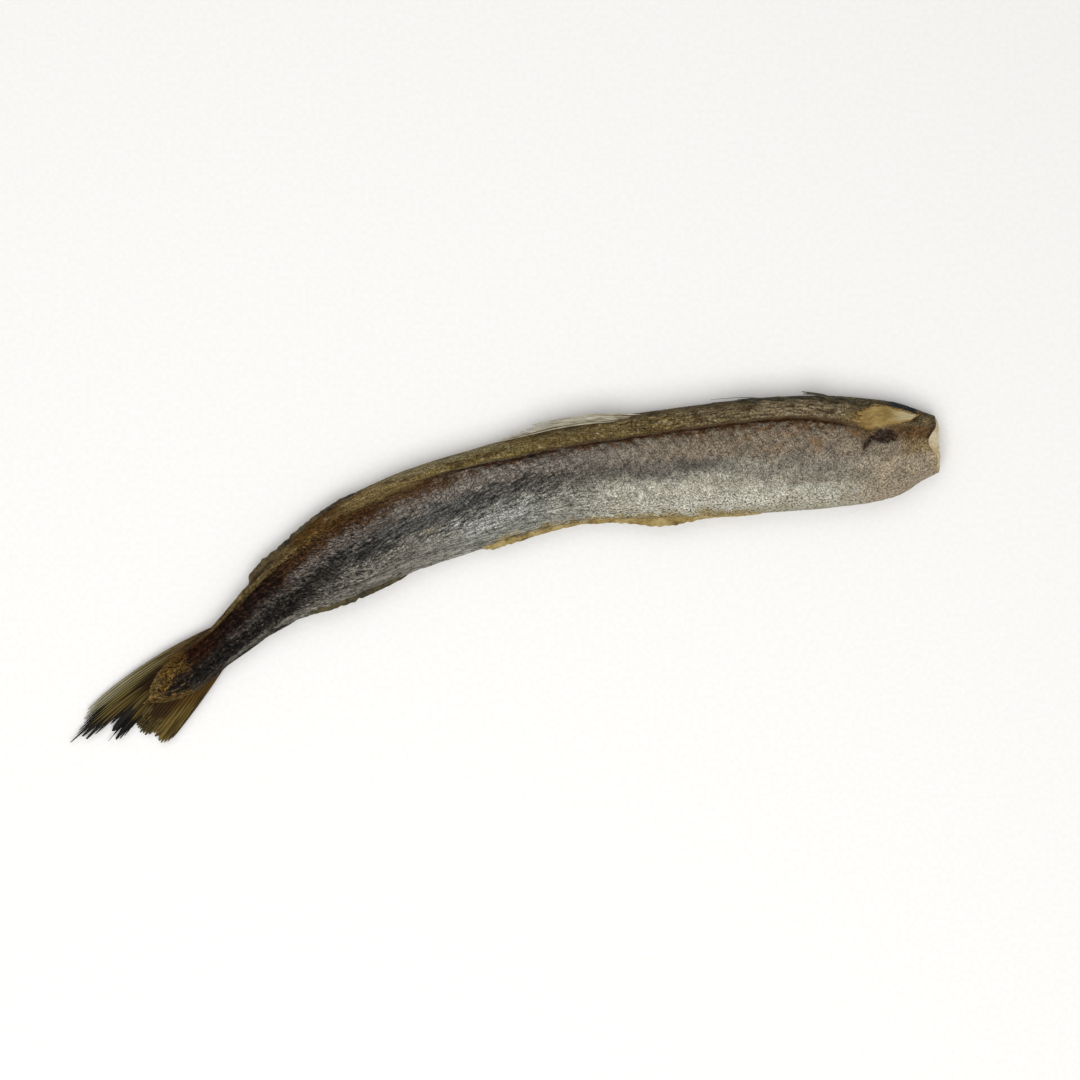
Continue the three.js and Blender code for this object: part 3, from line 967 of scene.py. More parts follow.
# %% Skin strokes
# Kind, length and width in mm, turn from the body's length in degrees, darkest and palest light, and
# limits as above. Strokes without a turn follow the bands.
SPOTS, DASHES, HAIRS, NET = range(4)
SKIN_STROKES = [
    # Pepper: pigment cells on the belly.
    (DASHES, 0.6, 0.34, 0, 0.24, 1.3, (4, 18, 70, 100), until(0.1, 0.26)),
    (DASHES, 0.7, 0.34, 0, 0.55, 1.14, until(10, 22), until(0.16, 0.3)),
    # Muscle fibres cross each other on the flank.
    (DASHES, 1.3, 0.25, 60, 0.66, 1.12, until(104, 128), (0.04, 0.2, 0.72, 0.78)),
    (DASHES, 1.1, 0.25, -35, 0.68, 1.1, until(104, 128), (0.04, 0.2, 0.72, 0.78)),
    (DASHES, 0.9, 0.25, 10, 0.68, 1.1, until(104, 128), (0.04, 0.2, 0.72, 0.78)),
    (SPOTS, 3.6, 2.2, 0, 0.78, 1.22, until(104, 128), (0.1, 0.24, 0.72, 0.78)),
    # Scale pockets show as a net on the rear flank, and pebbles on the tongue.
    (NET, 1.1, 0.55, -15, 0.58, 1.14, (66, 88, 140, 156), (0.16, 0.28, 0.7, 0.76)),
    (NET, 0.5, 0.46, 0, 0.6, 1.24, past(168, 173), ALL),
    # Wrinkles run along the rear half and the back, and on the slant at the side line.
    (HAIRS, 4.0, 0.9, None, 0.4, 1.12, (52, 80, 168, 174), until(0.3, 0.42)),
    (SPOTS, 3.0, 0.36, None, 0.6, 1.3, past(58, 90), ALL),
    (SPOTS, 3.0, 0.5, None, 0.5, 1.5, until(58, 90), past(0.76, 0.8)),
    (HAIRS, 3.0, 0.8, 12, 0.4, 1.15, until(6, 9), past(0.5, 0.6)),
    # The back is granular, and the stalk mottled.
    (SPOTS, 0.6, 0.5, 0, 0.55, 1.45, ALL, past(0.755, 0.79)),
    (SPOTS, 1.3, 0.6, 0, 0.4, 1.6, past(122, 144), until(0.74, 0.8)),
    (DASHES, 0.9, 0.32, 20, 0.2, 1.16, past(106, 134), (0.1, 0.2, 0.74, 0.8)),
    (HAIRS, 12.0, 0.9, -15, 0.25, 1.12, (70, 88, 130, 146), (0.2, 0.3, 0.52, 0.6)),
]
print("skin strokes", len(SKIN_STROKES))

# %% Light from strokes
# The grey values between which a stroke goes from dark to pale.
STROKE_EDGES = {SPOTS: (0.36, 0.64), DASHES: (0.37, 0.5), HAIRS: (0.0, 0.05), NET: (0.0, 0.25)}


def shade(tree, colour, light, strength=1.0):
    """Shade a colour by a light value: below 1 it gets darker, above 1 paler."""
    layers = {0: strength, 6: colour, 7: light}
    return add(tree, "Mix", layers, output=2, data_type="RGBA", blend_type="MULTIPLY")


def strokes(tree, vector, kind, length, width, turn, dark, pale):
    """A light value from dark to pale: soft spots, dark dashes, dark hairs, or a net round pale cells."""
    inputs = {"Vector": vector, "Scale": (length, width, 1), "Rotation": (0, 0, math.radians(turn))}
    place = add(tree, "Mapping", inputs, vector_type="TEXTURE")
    if kind == NET:
        inputs = {"Vector": place, "Scale": 1.0, "Randomness": 0.85}
        settings = {"feature": "DISTANCE_TO_EDGE", "voronoi_dimensions": "2D"}
        grey = add(tree, "TexVoronoi", inputs, **settings)
    else:
        detail = 1.0 if kind == DASHES else 2.0
        inputs = {"Vector": place, "Scale": 1.0, "Detail": detail, "Roughness": 0.6}
        grey = add(tree, "TexNoise", inputs)
    if kind == HAIRS:
        grey = add(tree, "Math", {0: grey, 1: 0.5}, operation="SUBTRACT")
        grey = add(tree, "Math", {0: grey}, operation="ABSOLUTE")
    low, high = STROKE_EDGES[kind]
    limits = {"Value": grey, "From Min": low, "From Max": high, "To Min": dark, "To Max": pale}
    return add(tree, "MapRange", limits)


print("kinds of strokes", len(STROKE_EDGES))

# %% Ragged bands of the skin
BLOTCH = 4.5
NIBBLE = 0.9
NIBBLE_REACH = 0.35
FREE_FROM_FOLD = 0.14
BEND_AT_FOLD = 0.006
BEND_ACROSS = 0.06
BEND_ALONG = 3.5

# Thin matt leather: the eye sees soft bands with ragged edges, black pepper, and painted shade in the
# grooves.
skin_material, tree = new_material("dried fish skin")
bands = add(tree, "UVMap", uv_map="bands")
grain = add(tree, "UVMap", uv_map="grain")
place = add(tree, "SeparateXYZ", {"Vector": bands}, output=None)

# Blotches bend the bands, but not at the crease, where a fold holds the colour in place.
blotch = add(tree, "TexNoise", {"Vector": grain, "Scale": 1 / BLOTCH, "Detail": 5.0, "Roughness": 0.65})
limits = {"Value": blotch, "From Min": 0.25, "From Max": 0.75, "To Min": -1.0, "To Max": 1.0}
bend = add(tree, "MapRange", limits, clamp=False)
off_fold = add(tree, "Math", {0: place["Y"], 1: FOLD_BAND}, operation="SUBTRACT")
off_fold = add(tree, "Math", {0: off_fold}, operation="ABSOLUTE")
limits = {"Value": off_fold, "From Max": FREE_FROM_FOLD, "To Min": BEND_AT_FOLD, "To Max": BEND_ACROSS}
freedom = add(tree, "MapRange", limits)
nibbles = add(tree, "TexNoise", {"Vector": grain, "Scale": 1 / NIBBLE, "Detail": 2.0})
limits = {"From Min": 0.3, "From Max": 0.7, "To Min": -NIBBLE_REACH, "To Max": NIBBLE_REACH}
nibbles = add(tree, "MapRange", {"Value": nibbles, **limits})
ragged = add(tree, "Math", {0: bend, 1: nibbles}, operation="ADD")
across = add(tree, "Math", {0: ragged, 1: freedom, 2: place["Y"]}, operation="MULTIPLY_ADD")
lengthwise = add(tree, "Math", {0: bend, 1: BEND_ALONG, 2: place["X"]}, operation="MULTIPLY_ADD")
print("nodes for the bands", len(tree.nodes))

# %% Pigments, stains and a painted shadow on the skin
FLECK_STRETCH = 2.0
STAIN_AND_SHADOW_COLOURS = {AMBER: "#80683c", DARK: "#2a1f19", RUST: "#260a02"}

silver = add(tree, "ValToRGB", {"Fac": blotch}, stops=[(0.3, "#94907f"), (0.7, "#b5b2a5")])
stretched = add(tree, "Mapping", {"Vector": grain, "Scale": (1 / FLECK_STRETCH, 1, 1)})
colour = paint(tree, silver, lengthwise, across, stretched, SKIN_PIGMENTS)
# Bare flesh, pigment, a painted shadow at the lip of the cut, and rust lie over the bands.
stain_and_shadow_colour = add(tree, "Attribute", attribute_name="stains_and_lip_shadow")
stain_and_shadow = add(tree, "SeparateColor", {"Color": stain_and_shadow_colour}, output=None)
for kind, mark in STAIN_AND_SHADOW_COLOURS.items():
    layers = {0: stain_and_shadow[kind], 6: colour, 7: linear(mark)}
    colour = add(tree, "Mix", layers, output=2, data_type="RGBA")
print("nodes with the pigments", len(tree.nodes))

# %% Grain, strokes, painted shade and gloss of the skin
GRAIN = 0.3
GRAIN_LIGHT = (0.58, 1.42)
BEND_LENGTH = 4.0
BEND = 2.2
GROOVE_LIGHT = 0.3

# Noise bends the strokes, because straight ones look woven.
swirl = add(tree, "TexNoise", {"Vector": grain, "Scale": 1 / BEND_LENGTH, "Detail": 1.0}, output=1)
swirl = add(tree, "VectorMath", {0: swirl, 1: (0.5, 0.5, 0.5)}, operation="SUBTRACT")
bent = add(tree, "VectorMath", {0: swirl, 1: (BEND, BEND, 0), 2: grain}, operation="MULTIPLY_ADD")
drawn_out = add(tree, "Mapping", {"Vector": bands, "Scale": (1, BODY_DEPTH, 1)})
grains = strokes(tree, grain, SPOTS, GRAIN, GRAIN, 0, *GRAIN_LIGHT)
colour = shade(tree, colour, grains)
for kind, length, width, turn, dark, pale, *limits in SKIN_STROKES:
    vector = drawn_out if turn is None else bent
    stroke_light = strokes(tree, vector, kind, length, width, turn or 0, dark, pale)
    shown = within(tree, 1.0, place["X"], place["Y"], *limits)
    colour = shade(tree, colour, stroke_light, shown)
# Painted shade: the skin darkens by the groove value kept with the mesh, in grooves and hollows.
groove = add(tree, "Attribute", output="Fac", attribute_name="groove")
groove_light = add(tree, "MapRange", {"Value": groove, "To Min": 1.0, "To Max": GROOVE_LIGHT})
colour = shade(tree, colour, groove_light)
# The belly keeps a satin gloss on its grains.
limits = {"Value": place["Y"], "From Min": 0.15, "From Max": LINE_BAND, "To Min": 0.4, "To Max": 0.56}
satin = add(tree, "MapRange", limits)
finish = {"depth": 0.06, "strength": 0.6, "rough": (0.72, satin), "ior": 1.45, "gloss": 0.06}
surface(tree, colour, grains, GRAIN_LIGHT, **finish)
print("nodes of the skin", len(tree.nodes))

# %% [markdown]
# ## Cut flesh
# The knife left a clean rim round the hollow. Dried white flesh goes cream where it is thick and amber
# where it is thin and the oil shows, with short fibres that run into the body. The same material, with
# its fibres along a UV map of their own, also serves for the flesh that was torn bare.

# %% Flesh material
FIBRE = 0.5
FIBRES_ALONG = 0.25
PATCHES_PER_MM = 0.3
NOISE_SPAN = (0.3, 0.7)
# On a UV map the strands and the patches are counted over the whole sheet.
SHEET_STRANDS = (7.0, 34.0, 1)
SHEET_PATCHES = 5.0


def dried_flesh(name, pale, deep, strands_map=None, pigments=()):
    """Dried muscle: fibres, pale where it is thick and amber where the oil shows."""
    material, tree = new_material(name)
    if strands_map:
        place = add(tree, "UVMap", uv_map=strands_map)
        scale = SHEET_STRANDS
        patch_scale = SHEET_PATCHES
    else:
        place = add(tree, "TexCoord", output="Object")
        scale = (FIBRES_ALONG / FIBRE / MM, 1 / FIBRE / MM, 1 / FIBRE / MM)
        patch_scale = PATCHES_PER_MM / MM
    fibres = add(tree, "Mapping", {"Vector": place, "Scale": scale})
    inputs = {"Vector": fibres, "Scale": 1.0, "Detail": 4.0, "Distortion": 0.3}
    strands = add(tree, "TexNoise", inputs)
    patches = add(tree, "TexNoise", {"Vector": place, "Scale": patch_scale, "Detail": 2.0})
    mixed = add(tree, "Mix", {0: 0.55, 2: strands, 3: patches})
    colour = add(tree, "ValToRGB", {"Fac": mixed}, stops=[(0.36, deep), (0.64, pale)])
    axes = add(tree, "SeparateXYZ", {"Vector": place}, output=None)
    colour = paint(tree, colour, axes["X"], axes["Y"], place, pigments)
    finish = {"depth": 0.15, "strength": 0.6, "rough": (0.65, 0.45), "ior": 1.45, "gloss": 0.2}
    surface(tree, colour, strands, NOISE_SPAN, **finish)
    print(name, "nodes", len(tree.nodes))
    return material


cut_material = dried_flesh("cream dried flesh", "#d6ccb0", "#b09a70")

# %% Body
piece("body", body_mesh(), skin_material, cut_material)

# %% [markdown]
# ## Torn flesh behind the cut
# A strip of skin was torn off behind the head, and the bare muscle under it dried to amber strands. The
# hole in the skin is part of the relief. The strands are a sheet of their own that fills the hole: a grid
# between the two edges of the tear, folded along its length, with a lower face that sinks into the body.
# A solidify step would spread where the sheet folds back on itself, so the sheet is extruded straight
# down.

# %% Torn flesh mesh
TORN_ROWS = 80
TORN_COLUMNS = 60
TORN_DEPTH = 0.6
EDGE_SINK = 0.2
DOME = 0.4
DOME_START = 4.6
DOME_END = 15.5
FOLD_LENGTH = 6.0
FOLD_HEIGHT = 0.3
STRAND_LENGTH = 1.6
STRAND_HEIGHT = 0.1


def thicken(bm, depth):
    """Give a sheet a lower face and a rim: all of it is extruded and moved down."""
    made = bmesh.ops.extrude_face_region(bm, geom=bm.faces[:])["geom"]
    lower = [item for item in made if isinstance(item, bmesh.types.BMVert)]
    bmesh.ops.translate(bm, vec=(0, 0, -depth), verts=lower)
    for vert in lower:
        vert.co.z = max(vert.co.z, 0.0)


def torn_flesh_mesh():
    """The sheet of strands between the two edges of the tear."""
    bm = sheet(TORN_ROWS, TORN_COLUMNS, "strands")
    for vert in bm.verts:
        s = lerp(PATCH_START, PATCH_END, vert.co.x + 0.5)
        side = 2 * vert.co.y
        low, high = patch_edges(s)
        share = lerp(low, high, vert.co.y + 0.5)
        dome = (1 - side**6) * rise(s, PATCH_START, DOME_START) * (1 - rise(s, DOME_END, PATCH_END))
        fold = noise.noise(Vector((s / FOLD_LENGTH, 1.8 * side, 17.0)))
        strand = noise.noise(Vector((s / STRAND_LENGTH, 4 * side, 23.0)))
        lift = -EDGE_SINK + dome * (DOME + FOLD_HEIGHT * fold + STRAND_HEIGHT * strand)
        vert.co = skin(s, math.acos(-share), lift)[0]
    bmesh.ops.remove_doubles(bm, verts=bm.verts, dist=WELD)
    thicken(bm, TORN_DEPTH)
    return bm


print("torn flesh grid", TORN_ROWS, "by", TORN_COLUMNS)

# %% Torn flesh
# The bare flesh is cream at its front end and brown at its rear one. Its limits are shares of the patch.
TORN_PIGMENTS = [
    ("#c8bb93", 0.75, until(0.2, 0.5), past(0.1, 0.3)),
    ("#7c6134", 0.8, past(0.62, 0.9), until(0.3, 0.6)),
]
torn_material = dried_flesh("amber dried flesh", "#ab935c", "#79602f", "strands", TORN_PIGMENTS)
piece("torn_flesh", torn_flesh_mesh(), torn_material)

# %% [markdown]
# ## Tail fin
# The tail fin is a fan of bony rays joined by thin skin, split in two lobes and frayed at the tips.
# Single rods would leave gaps, and a flat sheet would look like paper, so each lobe is a grid with a few
# columns for each ray: the columns on a ray stand up as a ridge, and those between end early, so that the
# rays stick out at the tip as bristles. The length of each ray is drawn at random, which makes the fray
# uneven.

# %% Tail fin lobes
UPPER_LOBE = {
    "side": 1,
    "rays": 22,
    "roots": (164.0, 185.0),
    # Share of the way from the outer ray to the inner one, and the place of the tip there.
    "tips": [
        (0.0, -92.3, -31.0), (0.1, -92.4, -32.6), (0.22, -93.2, -34.6), (0.3, -95.2, -37.3),
        (0.34, -96.3, -38.7), (0.38, -93.4, -37.0), (0.44, -92.0, -37.5), (0.5, -90.4, -37.0),
        (0.54, -88.8, -35.5), (0.585, -86.6, -34.4), (0.615, -86.4, -35.0), (0.64, -87.8, -38.3),
        (0.68, -87.4, -38.0), (0.72, -86.1, -36.6), (0.76, -85.6, -37.7), (0.84, -84.0, -37.0),
        (0.92, -82.9, -35.7), (1.0, -81.2, -34.1),
    ],
    "bulge": 1.5,
    "fray": 0.13,
    "uneven": 0.03,
    "contrast": 0.75,
    "seed": 11,
}
LOWER_LOBE = {
    "side": -1,
    "rays": 15,
    "roots": (168.0, 185.0),
    "tips": [
        (0.0, -73.2, -37.4), (0.12, -74.6, -38.3), (0.28, -76.2, -38.2), (0.36, -77.0, -36.9),
        (0.52, -78.9, -36.8), (0.7, -80.5, -36.1), (0.88, -81.4, -35.1), (1.0, -81.9, -33.9),
    ],
    "bulge": -0.3,
    "fray": 0.05,
    "uneven": 0.03,
    "contrast": 0.5,
    "seed": 5,
}
print("upper lobe rays", UPPER_LOBE["rays"], "lower lobe rays", LOWER_LOBE["rays"])

# %% Tail fin mesh
RAY_COLUMNS = 6
RAY_ROWS = 44
RAY_HALF_WIDTH = 0.72
RAY_RIDGE = 0.4
FIN_SKIN = 0.35
TIP_HEIGHT = 1.0
ROOT_DROP = 0.5
FRAY_FROM = 0.35
RIDGE_RISE = 0.25
RIDGE_LOSS = 0.5
BUCKLE = 0.3


def lobe_mesh(lobe):
    """A fan of rays. The UV map runs from root to tip, and from the outer ray to the inner one."""
    rays = lobe["rays"]
    bm = sheet(RAY_ROWS, rays * RAY_COLUMNS, "rays")
    draw = random.Random(lobe["seed"])
    lengths = [1 + lobe["uneven"] * draw.uniform(-1, 1) for _ in range(rays)]
    shares, xs, ys = zip(*lobe["tips"])
    for vert in bm.verts:
        out = vert.co.x + 0.5
        inward = vert.co.y + 0.5
        ray = min(int(inward * rays), rays - 1)
        off_ray = abs(inward * rays - ray - 0.5) * 2
        s = lerp(*lobe["roots"], inward)
        place, _, back = spine(s)
        depth = half_depth(s, lobe["side"]) - RAY_HALF_WIDTH
        root = place + back * (lobe["side"] * (1 - inward) * depth)
        tip = Vector((np.interp(inward, shares, xs), np.interp(inward, shares, ys), TIP_HEIGHT))
        across = (tip - root).cross(Vector((0, 0, 1))).normalized()
        middle = (root + tip) / 2 + across * (2 * lobe["bulge"] * (1 - inward))
        t = out * lengths[ray] * (1 - lobe["fray"] * rise(off_ray, FRAY_FROM, 1.0))
        point = root * (1 - t) ** 2 + middle * (2 * t * (1 - t)) + tip * t * t
        ridge = RAY_RIDGE * (1 - off_ray**2) * rise(out, 0.0, RIDGE_RISE) * (1 - RIDGE_LOSS * out)
        buckle = BUCKLE * noise.noise(Vector((3 * inward, 1.5 * out, lobe["seed"])))
        buckle -= ROOT_DROP * (1 - out)
        vert.co = point + Vector((0, 0, ridge + buckle))
    thicken(bm, FIN_SKIN)
    return bm


print("columns of the upper lobe", UPPER_LOBE["rays"] * RAY_COLUMNS)

# %% [markdown]
# Dried fin rays are horn: pale and slightly glossy where the light catches a ray, dark between the rays,
# and stained by the same pigments as the skin, with black tips on the upper lobe and brown at the root of
# the lower one. The stripes come from the count of rays across the UV map, so that they stay on the
# modelled rays.

# %% Tail fin pigments
# The limits run along the rays from root to tip, and across from the outer ray to the inner one. They and
# the width of the flecks are shares of the fin.
UPPER_PIGMENTS = [
    # Pale outer rays, brown inner ones, and scaly skin over the roots.
    ("#6a6142", 0.9, past(0.3, 0.5), until(0.12, 0.28)),
    ("#8c866b", 0.7, past(0.55, 0.75), until(0.08, 0.18)),
    ("#4e3f1a", 0.9, ALL, past(0.26, 0.44)),
    ("#5a492d", 0.95, until(0.26, 0.44), until(0.2, 0.34)),
    ("#3a2817", 0.9, until(0.06, 0.26), until(0.24, 0.4)),
    ("#7a6846", 0.6, until(0.34, 0.46), until(0.34, 0.44), (0.03, 0.5)),
    ("#2e1d0d", 0.7, until(0.34, 0.46), until(0.34, 0.44), (0.04, 0.53)),
    # A red brown wedge beside the tongue, and black tips.
    ("#210d03", 0.92, (0.16, 0.28, 0.42, 0.58), (0.14, 0.28, 0.5, 0.66)),
    ("#12100d", 0.97, past(0.77, 0.88), past(0.08, 0.22)),
    ("#12100d", 0.95, past(0.62, 0.74), past(0.5, 0.6)),
]
LOWER_PIGMENTS = [
    # Brown roots, a dark inner half with a black edge, and a pale inner ray.
    ("#4c3510", 0.9, until(0.45, 0.62), until(0.4, 0.6)),
    ("#2c1a06", 0.92, until(0.66, 0.82), past(0.34, 0.52)),
    ("#3d3219", 0.9, past(0.74, 0.86), past(0.44, 0.58)),
    ("#2b2717", 0.8, past(0.3, 0.45), until(0.03, 0.09)),
    ("#5a4c2a", 0.8, (0.35, 0.5, 0.7, 0.8), past(0.8, 0.9)),
    ("#100d09", 0.9, (0.68, 0.74, 0.86, 0.94), past(0.4, 0.55), (0.07, 0.46)),
]
print("tail fin pigments", len(UPPER_PIGMENTS) + len(LOWER_PIGMENTS))

# %% Tail fin material
# Streaks along a ray, and how far they bend the limits of the pigments, as a share of the fin.
STREAKS_ALONG = 3.0
STREAK_BEND = 0.12
# Light on the streaks, then from the middle of a ray out to the gap beside it.
STREAK_LIGHT = (0.4, 1.6)
RAY_LIGHT = (1.45, 0.3)
RAY_EDGE = (0.1, 0.45)
# The rays stand out only past the scaly skin at their roots.
RAYS_SHOW = (0.15, 0.5)


def fin_rays(name, lobe, pale, dark, pigments):
    """Dried fin: horny rays with dark skin between them."""
    material, tree = new_material(name)
    rays = add(tree, "UVMap", uv_map="rays")
    stretched = add(tree, "Mapping", {"Vector": rays, "Scale": (STREAKS_ALONG, lobe["rays"], 1)})
    inputs = {"Vector": stretched, "Scale": 1.0, "Detail": 4.0, "Roughness": 0.7}
    streaks = add(tree, "TexNoise", inputs)
    limits = {"From Min": 0.25, "From Max": 0.75, "To Min": -STREAK_BEND, "To Max": STREAK_BEND}
    bend = add(tree, "MapRange", {"Value": streaks, **limits}, clamp=False)
    place = add(tree, "SeparateXYZ", {"Vector": rays}, output=None)
    lengthwise = add(tree, "Math", {0: place["X"], 1: bend}, operation="ADD")
    across = add(tree, "Math", {0: place["Y"], 1: bend}, operation="ADD")
    base = add(tree, "ValToRGB", {"Fac": streaks}, stops=[(0.35, dark), (0.65, pale)])
    colour = paint(tree, base, lengthwise, across, rays, pigments)

    count = add(tree, "Math", {0: place["Y"], 1: float(lobe["rays"])}, operation="MULTIPLY")
    count = add(tree, "Math", {0: count}, operation="FRACT")
    off_ray = add(tree, "Math", {0: count, 1: 0.5}, operation="SUBTRACT")
    off_ray = add(tree, "Math", {0: off_ray}, operation="ABSOLUTE")
    (near, far), (bright, dim) = RAY_EDGE, RAY_LIGHT
    limits = {"Value": off_ray, "From Min": near, "From Max": far, "To Min": bright, "To Max": dim}
    ray_light = add(tree, "MapRange", limits, interpolation_type="SMOOTHSTEP")
    limits = {"Value": streaks, "To Min": STREAK_LIGHT[0], "To Max": STREAK_LIGHT[1]}
    streak_light = add(tree, "MapRange", limits)
    limits = {"From Min": RAYS_SHOW[0], "From Max": RAYS_SHOW[1], "To Max": lobe["contrast"]}
    contrast = add(tree, "MapRange", {"Value": place["X"], **limits})
    colour = shade(tree, shade(tree, colour, ray_light, contrast), streak_light)
    finish = {"depth": 0.15, "strength": 0.5, "rough": (0.65, 0.45), "ior": 1.5, "gloss": 0.1}
    surface(tree, colour, streaks, NOISE_SPAN, **finish)
    print(name, "nodes", len(tree.nodes))
    return material


upper_horn = fin_rays("horn of the upper tail lobe", UPPER_LOBE, "#6f6436", "#352b12", UPPER_PIGMENTS)
lower_horn = fin_rays("horn of the lower tail lobe", LOWER_LOBE, "#6a5828", "#3d300f", LOWER_PIGMENTS)

# %% Tail fin
piece("tail_upper_lobe", lobe_mesh(UPPER_LOBE), upper_horn)
piece("tail_lower_lobe", lobe_mesh(LOWER_LOBE), lower_horn)

# %% [markdown]
# ## Bristles of the back fins
# The soft back fins dried to a few stiff hairs. The second one lies flat along the back as a pale bundle,
# and of the first one only a dark fringe, a tuft and a stray hair are left. A curve with a bevel would
# do, but a rod made by extruding a small disc step by step stays a closed mesh with a taper.

# %% Single hairs
HAIR_SIDES = 6
HAIR_STEPS = 14
HAIR_ROOT = 0.4
HAIR_TAPER = 0.75
BACK_EDGE = 0.96
PATH_STEP = 0.02


def sweep(bm, path, radius):
    """A closed tapering rod: a disc extruded along a path, both given by the share of the length."""
    start = bmesh.ops.create_circle(bm, cap_ends=True, segments=HAIR_SIDES, radius=1.0)
    face = start["verts"][0].link_faces[0]
    for step in range(HAIR_STEPS + 1):
        if step:
            made = bmesh.ops.extrude_face_region(bm, geom=[face])["geom"]
            face = next(item for item in made if isinstance(item, bmesh.types.BMFace))
        share = step / HAIR_STEPS
        ahead = path(min(share + PATH_STEP, 1.0)) - path(max(share - PATH_STEP, 0.0))
        across = ahead.cross(Vector((0, 0, 1))).normalized()
        upward = across.cross(ahead).normalized()
        for i, loop in enumerate(face.loops):
            angle = 2 * math.pi * i / HAIR_SIDES
            ring = across * math.cos(angle) + upward * math.sin(angle)
            loop.vert.co = path(share) + ring * radius(share)


def on_back(s, share, lift):
    """A point at the back edge. Past the edge it lies out beside the body, at the height of the edge."""
    back = spine(s)[2]
    inside = min(share, BACK_EDGE)
    point = skin(s, math.acos(-inside), lift)[0]
    return point + back * (half_depth(s, 1) * (share - inside))


def hair(bm, root, middle, tip, thick):
    """One hair through three places on the back, each given as s, share and lift."""
    path = through([on_back(*root), on_back(*middle), on_back(*tip)])

    def radius(share):
        return thick * lerp(HAIR_ROOT, 1, rise(share, 0, 0.2)) * (1 - HAIR_TAPER * share)

    sweep(bm, path, radius)


print("back edge at mid length in mm", [round(x, 1) for x in on_back(BODY_LENGTH / 2, 1.0, 0.0)])

# %% Bundle and fringe
LAID_HAIRS = 12
FRINGE_HAIRS = 12
TUFT_ROOT = 22.0
# How far each hair of the tuft reaches in mm, and the share across at its tip.
TUFT = [(7.2, 1.06), (6.4, 1.05), (6.0, 1.04), (5.2, 1.03), (4.6, 1.02), (6.6, 1.02)]


def laid_bristles():
    """The second back fin: rays that leave the skin close together and lie along the back edge."""
    bm = bmesh.new()
    draw = random.Random(3)
    for i in range(LAID_HAIRS):
        q = i / (LAID_HAIRS - 1)
        root = (lerp(68, 65, q) + draw.uniform(-2.5, 2.0), lerp(0.86, 0.97, q), -0.3)
        middle = (lerp(77, 74, q), lerp(0.93, 1.06, q) + draw.uniform(-0.02, 0.02), 0.2)
        reach = lerp(94, 84, q) + draw.uniform(-3, 2)
        tip = (reach, lerp(0.97, 1.12, q) + draw.uniform(-0.02, 0.02), 0.15)
        hair(bm, root, middle, tip, draw.uniform(0.15, 0.26))
    return bm


def dark_fringe():
    """The first back fin: broken rays along the back edge, a tuft that stands off it and a stray hair."""
    bm = bmesh.new()
    draw = random.Random(8)
    for i in range(FRINGE_HAIRS):
        start = lerp(22, 42, i / (FRINGE_HAIRS - 1)) + draw.uniform(-0.8, 0.8)
        root = (start, draw.uniform(0.88, 0.95), -0.25)
        middle = (start + 2.5, draw.uniform(0.95, 0.99), 0.0)
        tip = (start + draw.uniform(4.5, 7.0), draw.uniform(0.98, 1.01), -0.05)
        hair(bm, root, middle, tip, draw.uniform(0.2, 0.3))
    for reach, share in TUFT:
        root = TUFT_ROOT + draw.uniform(-0.6, 0.6)
        hair(bm, (root, 0.93, -0.2), (root + 3.0, 1.0, 0.1), (root + reach, share, 0.1), 0.36)
    hair(bm, (36.5, 0.98, -0.1), (42.0, 1.03, 0.0), (48.5, 1.06, 0.0), 0.1)
    return bm


print("hairs", LAID_HAIRS, "laid and", FRINGE_HAIRS + len(TUFT) + 1, "in the fringe")

# %% Horn and back fins
# Streaks for each mm, few along the hairs and many across.
HORN_STREAKS = (0.3, 2.0, 2.0)


def dried_horn(name, pale, dark):
    """Dried fin hair: horn with streaks along it, a little glossy."""
    material, tree = new_material(name)
    place = add(tree, "TexCoord", output="Object")
    scale = [count / MM for count in HORN_STREAKS]
    stretched = add(tree, "Mapping", {"Vector": place, "Scale": scale})
    streaks = add(tree, "TexNoise", {"Vector": stretched, "Scale": 1.0, "Detail": 3.0})
    colour = add(tree, "ValToRGB", {"Fac": streaks}, stops=[(0.35, dark), (0.65, pale)])
    finish = {"depth": 0.1, "strength": 0.4, "rough": (0.6, 0.4), "ior": 1.5, "gloss": 0.25}
    surface(tree, colour, streaks, NOISE_SPAN, **finish)
    print(name, "nodes", len(tree.nodes))
    return material


pale_horn = dried_horn("pale dried horn", "#c4bda6", "#857c63")
dark_horn = dried_horn("dark dried horn", "#57523f", "#26251f")
piece("second_back_fin", laid_bristles(), pale_horn)
piece("first_back_fin", dark_fringe(), dark_horn)

# %% [markdown]
# ## Low fins along the edges
# The third back fin and the belly fins dried to low ragged flaps along the edge of the body. Each is a
# grid that starts inside the edge and reaches out past it, with fine strands, a ragged outer edge and a
# thickness. The amber flap of the first belly fin is the longest and stands out in the photograph.

# %% Low fin mesh
FLAP_ROWS_PER_MM = 3
FLAP_COLUMNS = 12
FLAP_ROOT = 0.95
FLAP_THICKNESS = 0.5
FLAP_TAPER = 4.0
FLAP_RAGS = 0.3
FLAP_SWEEP = 0.4
FLAP_STRANDS = 0.25
FLAP_ARCH = 0.35
# The root sinks into the body, deeper at both ends of the fin, and the tip hangs towards the mid line.
FLAP_SINK = (-1.0, -0.3)
FLAP_LEAST = 0.1
FLAP_ENDS = 0.3
FLAP_DROOP = 0.8


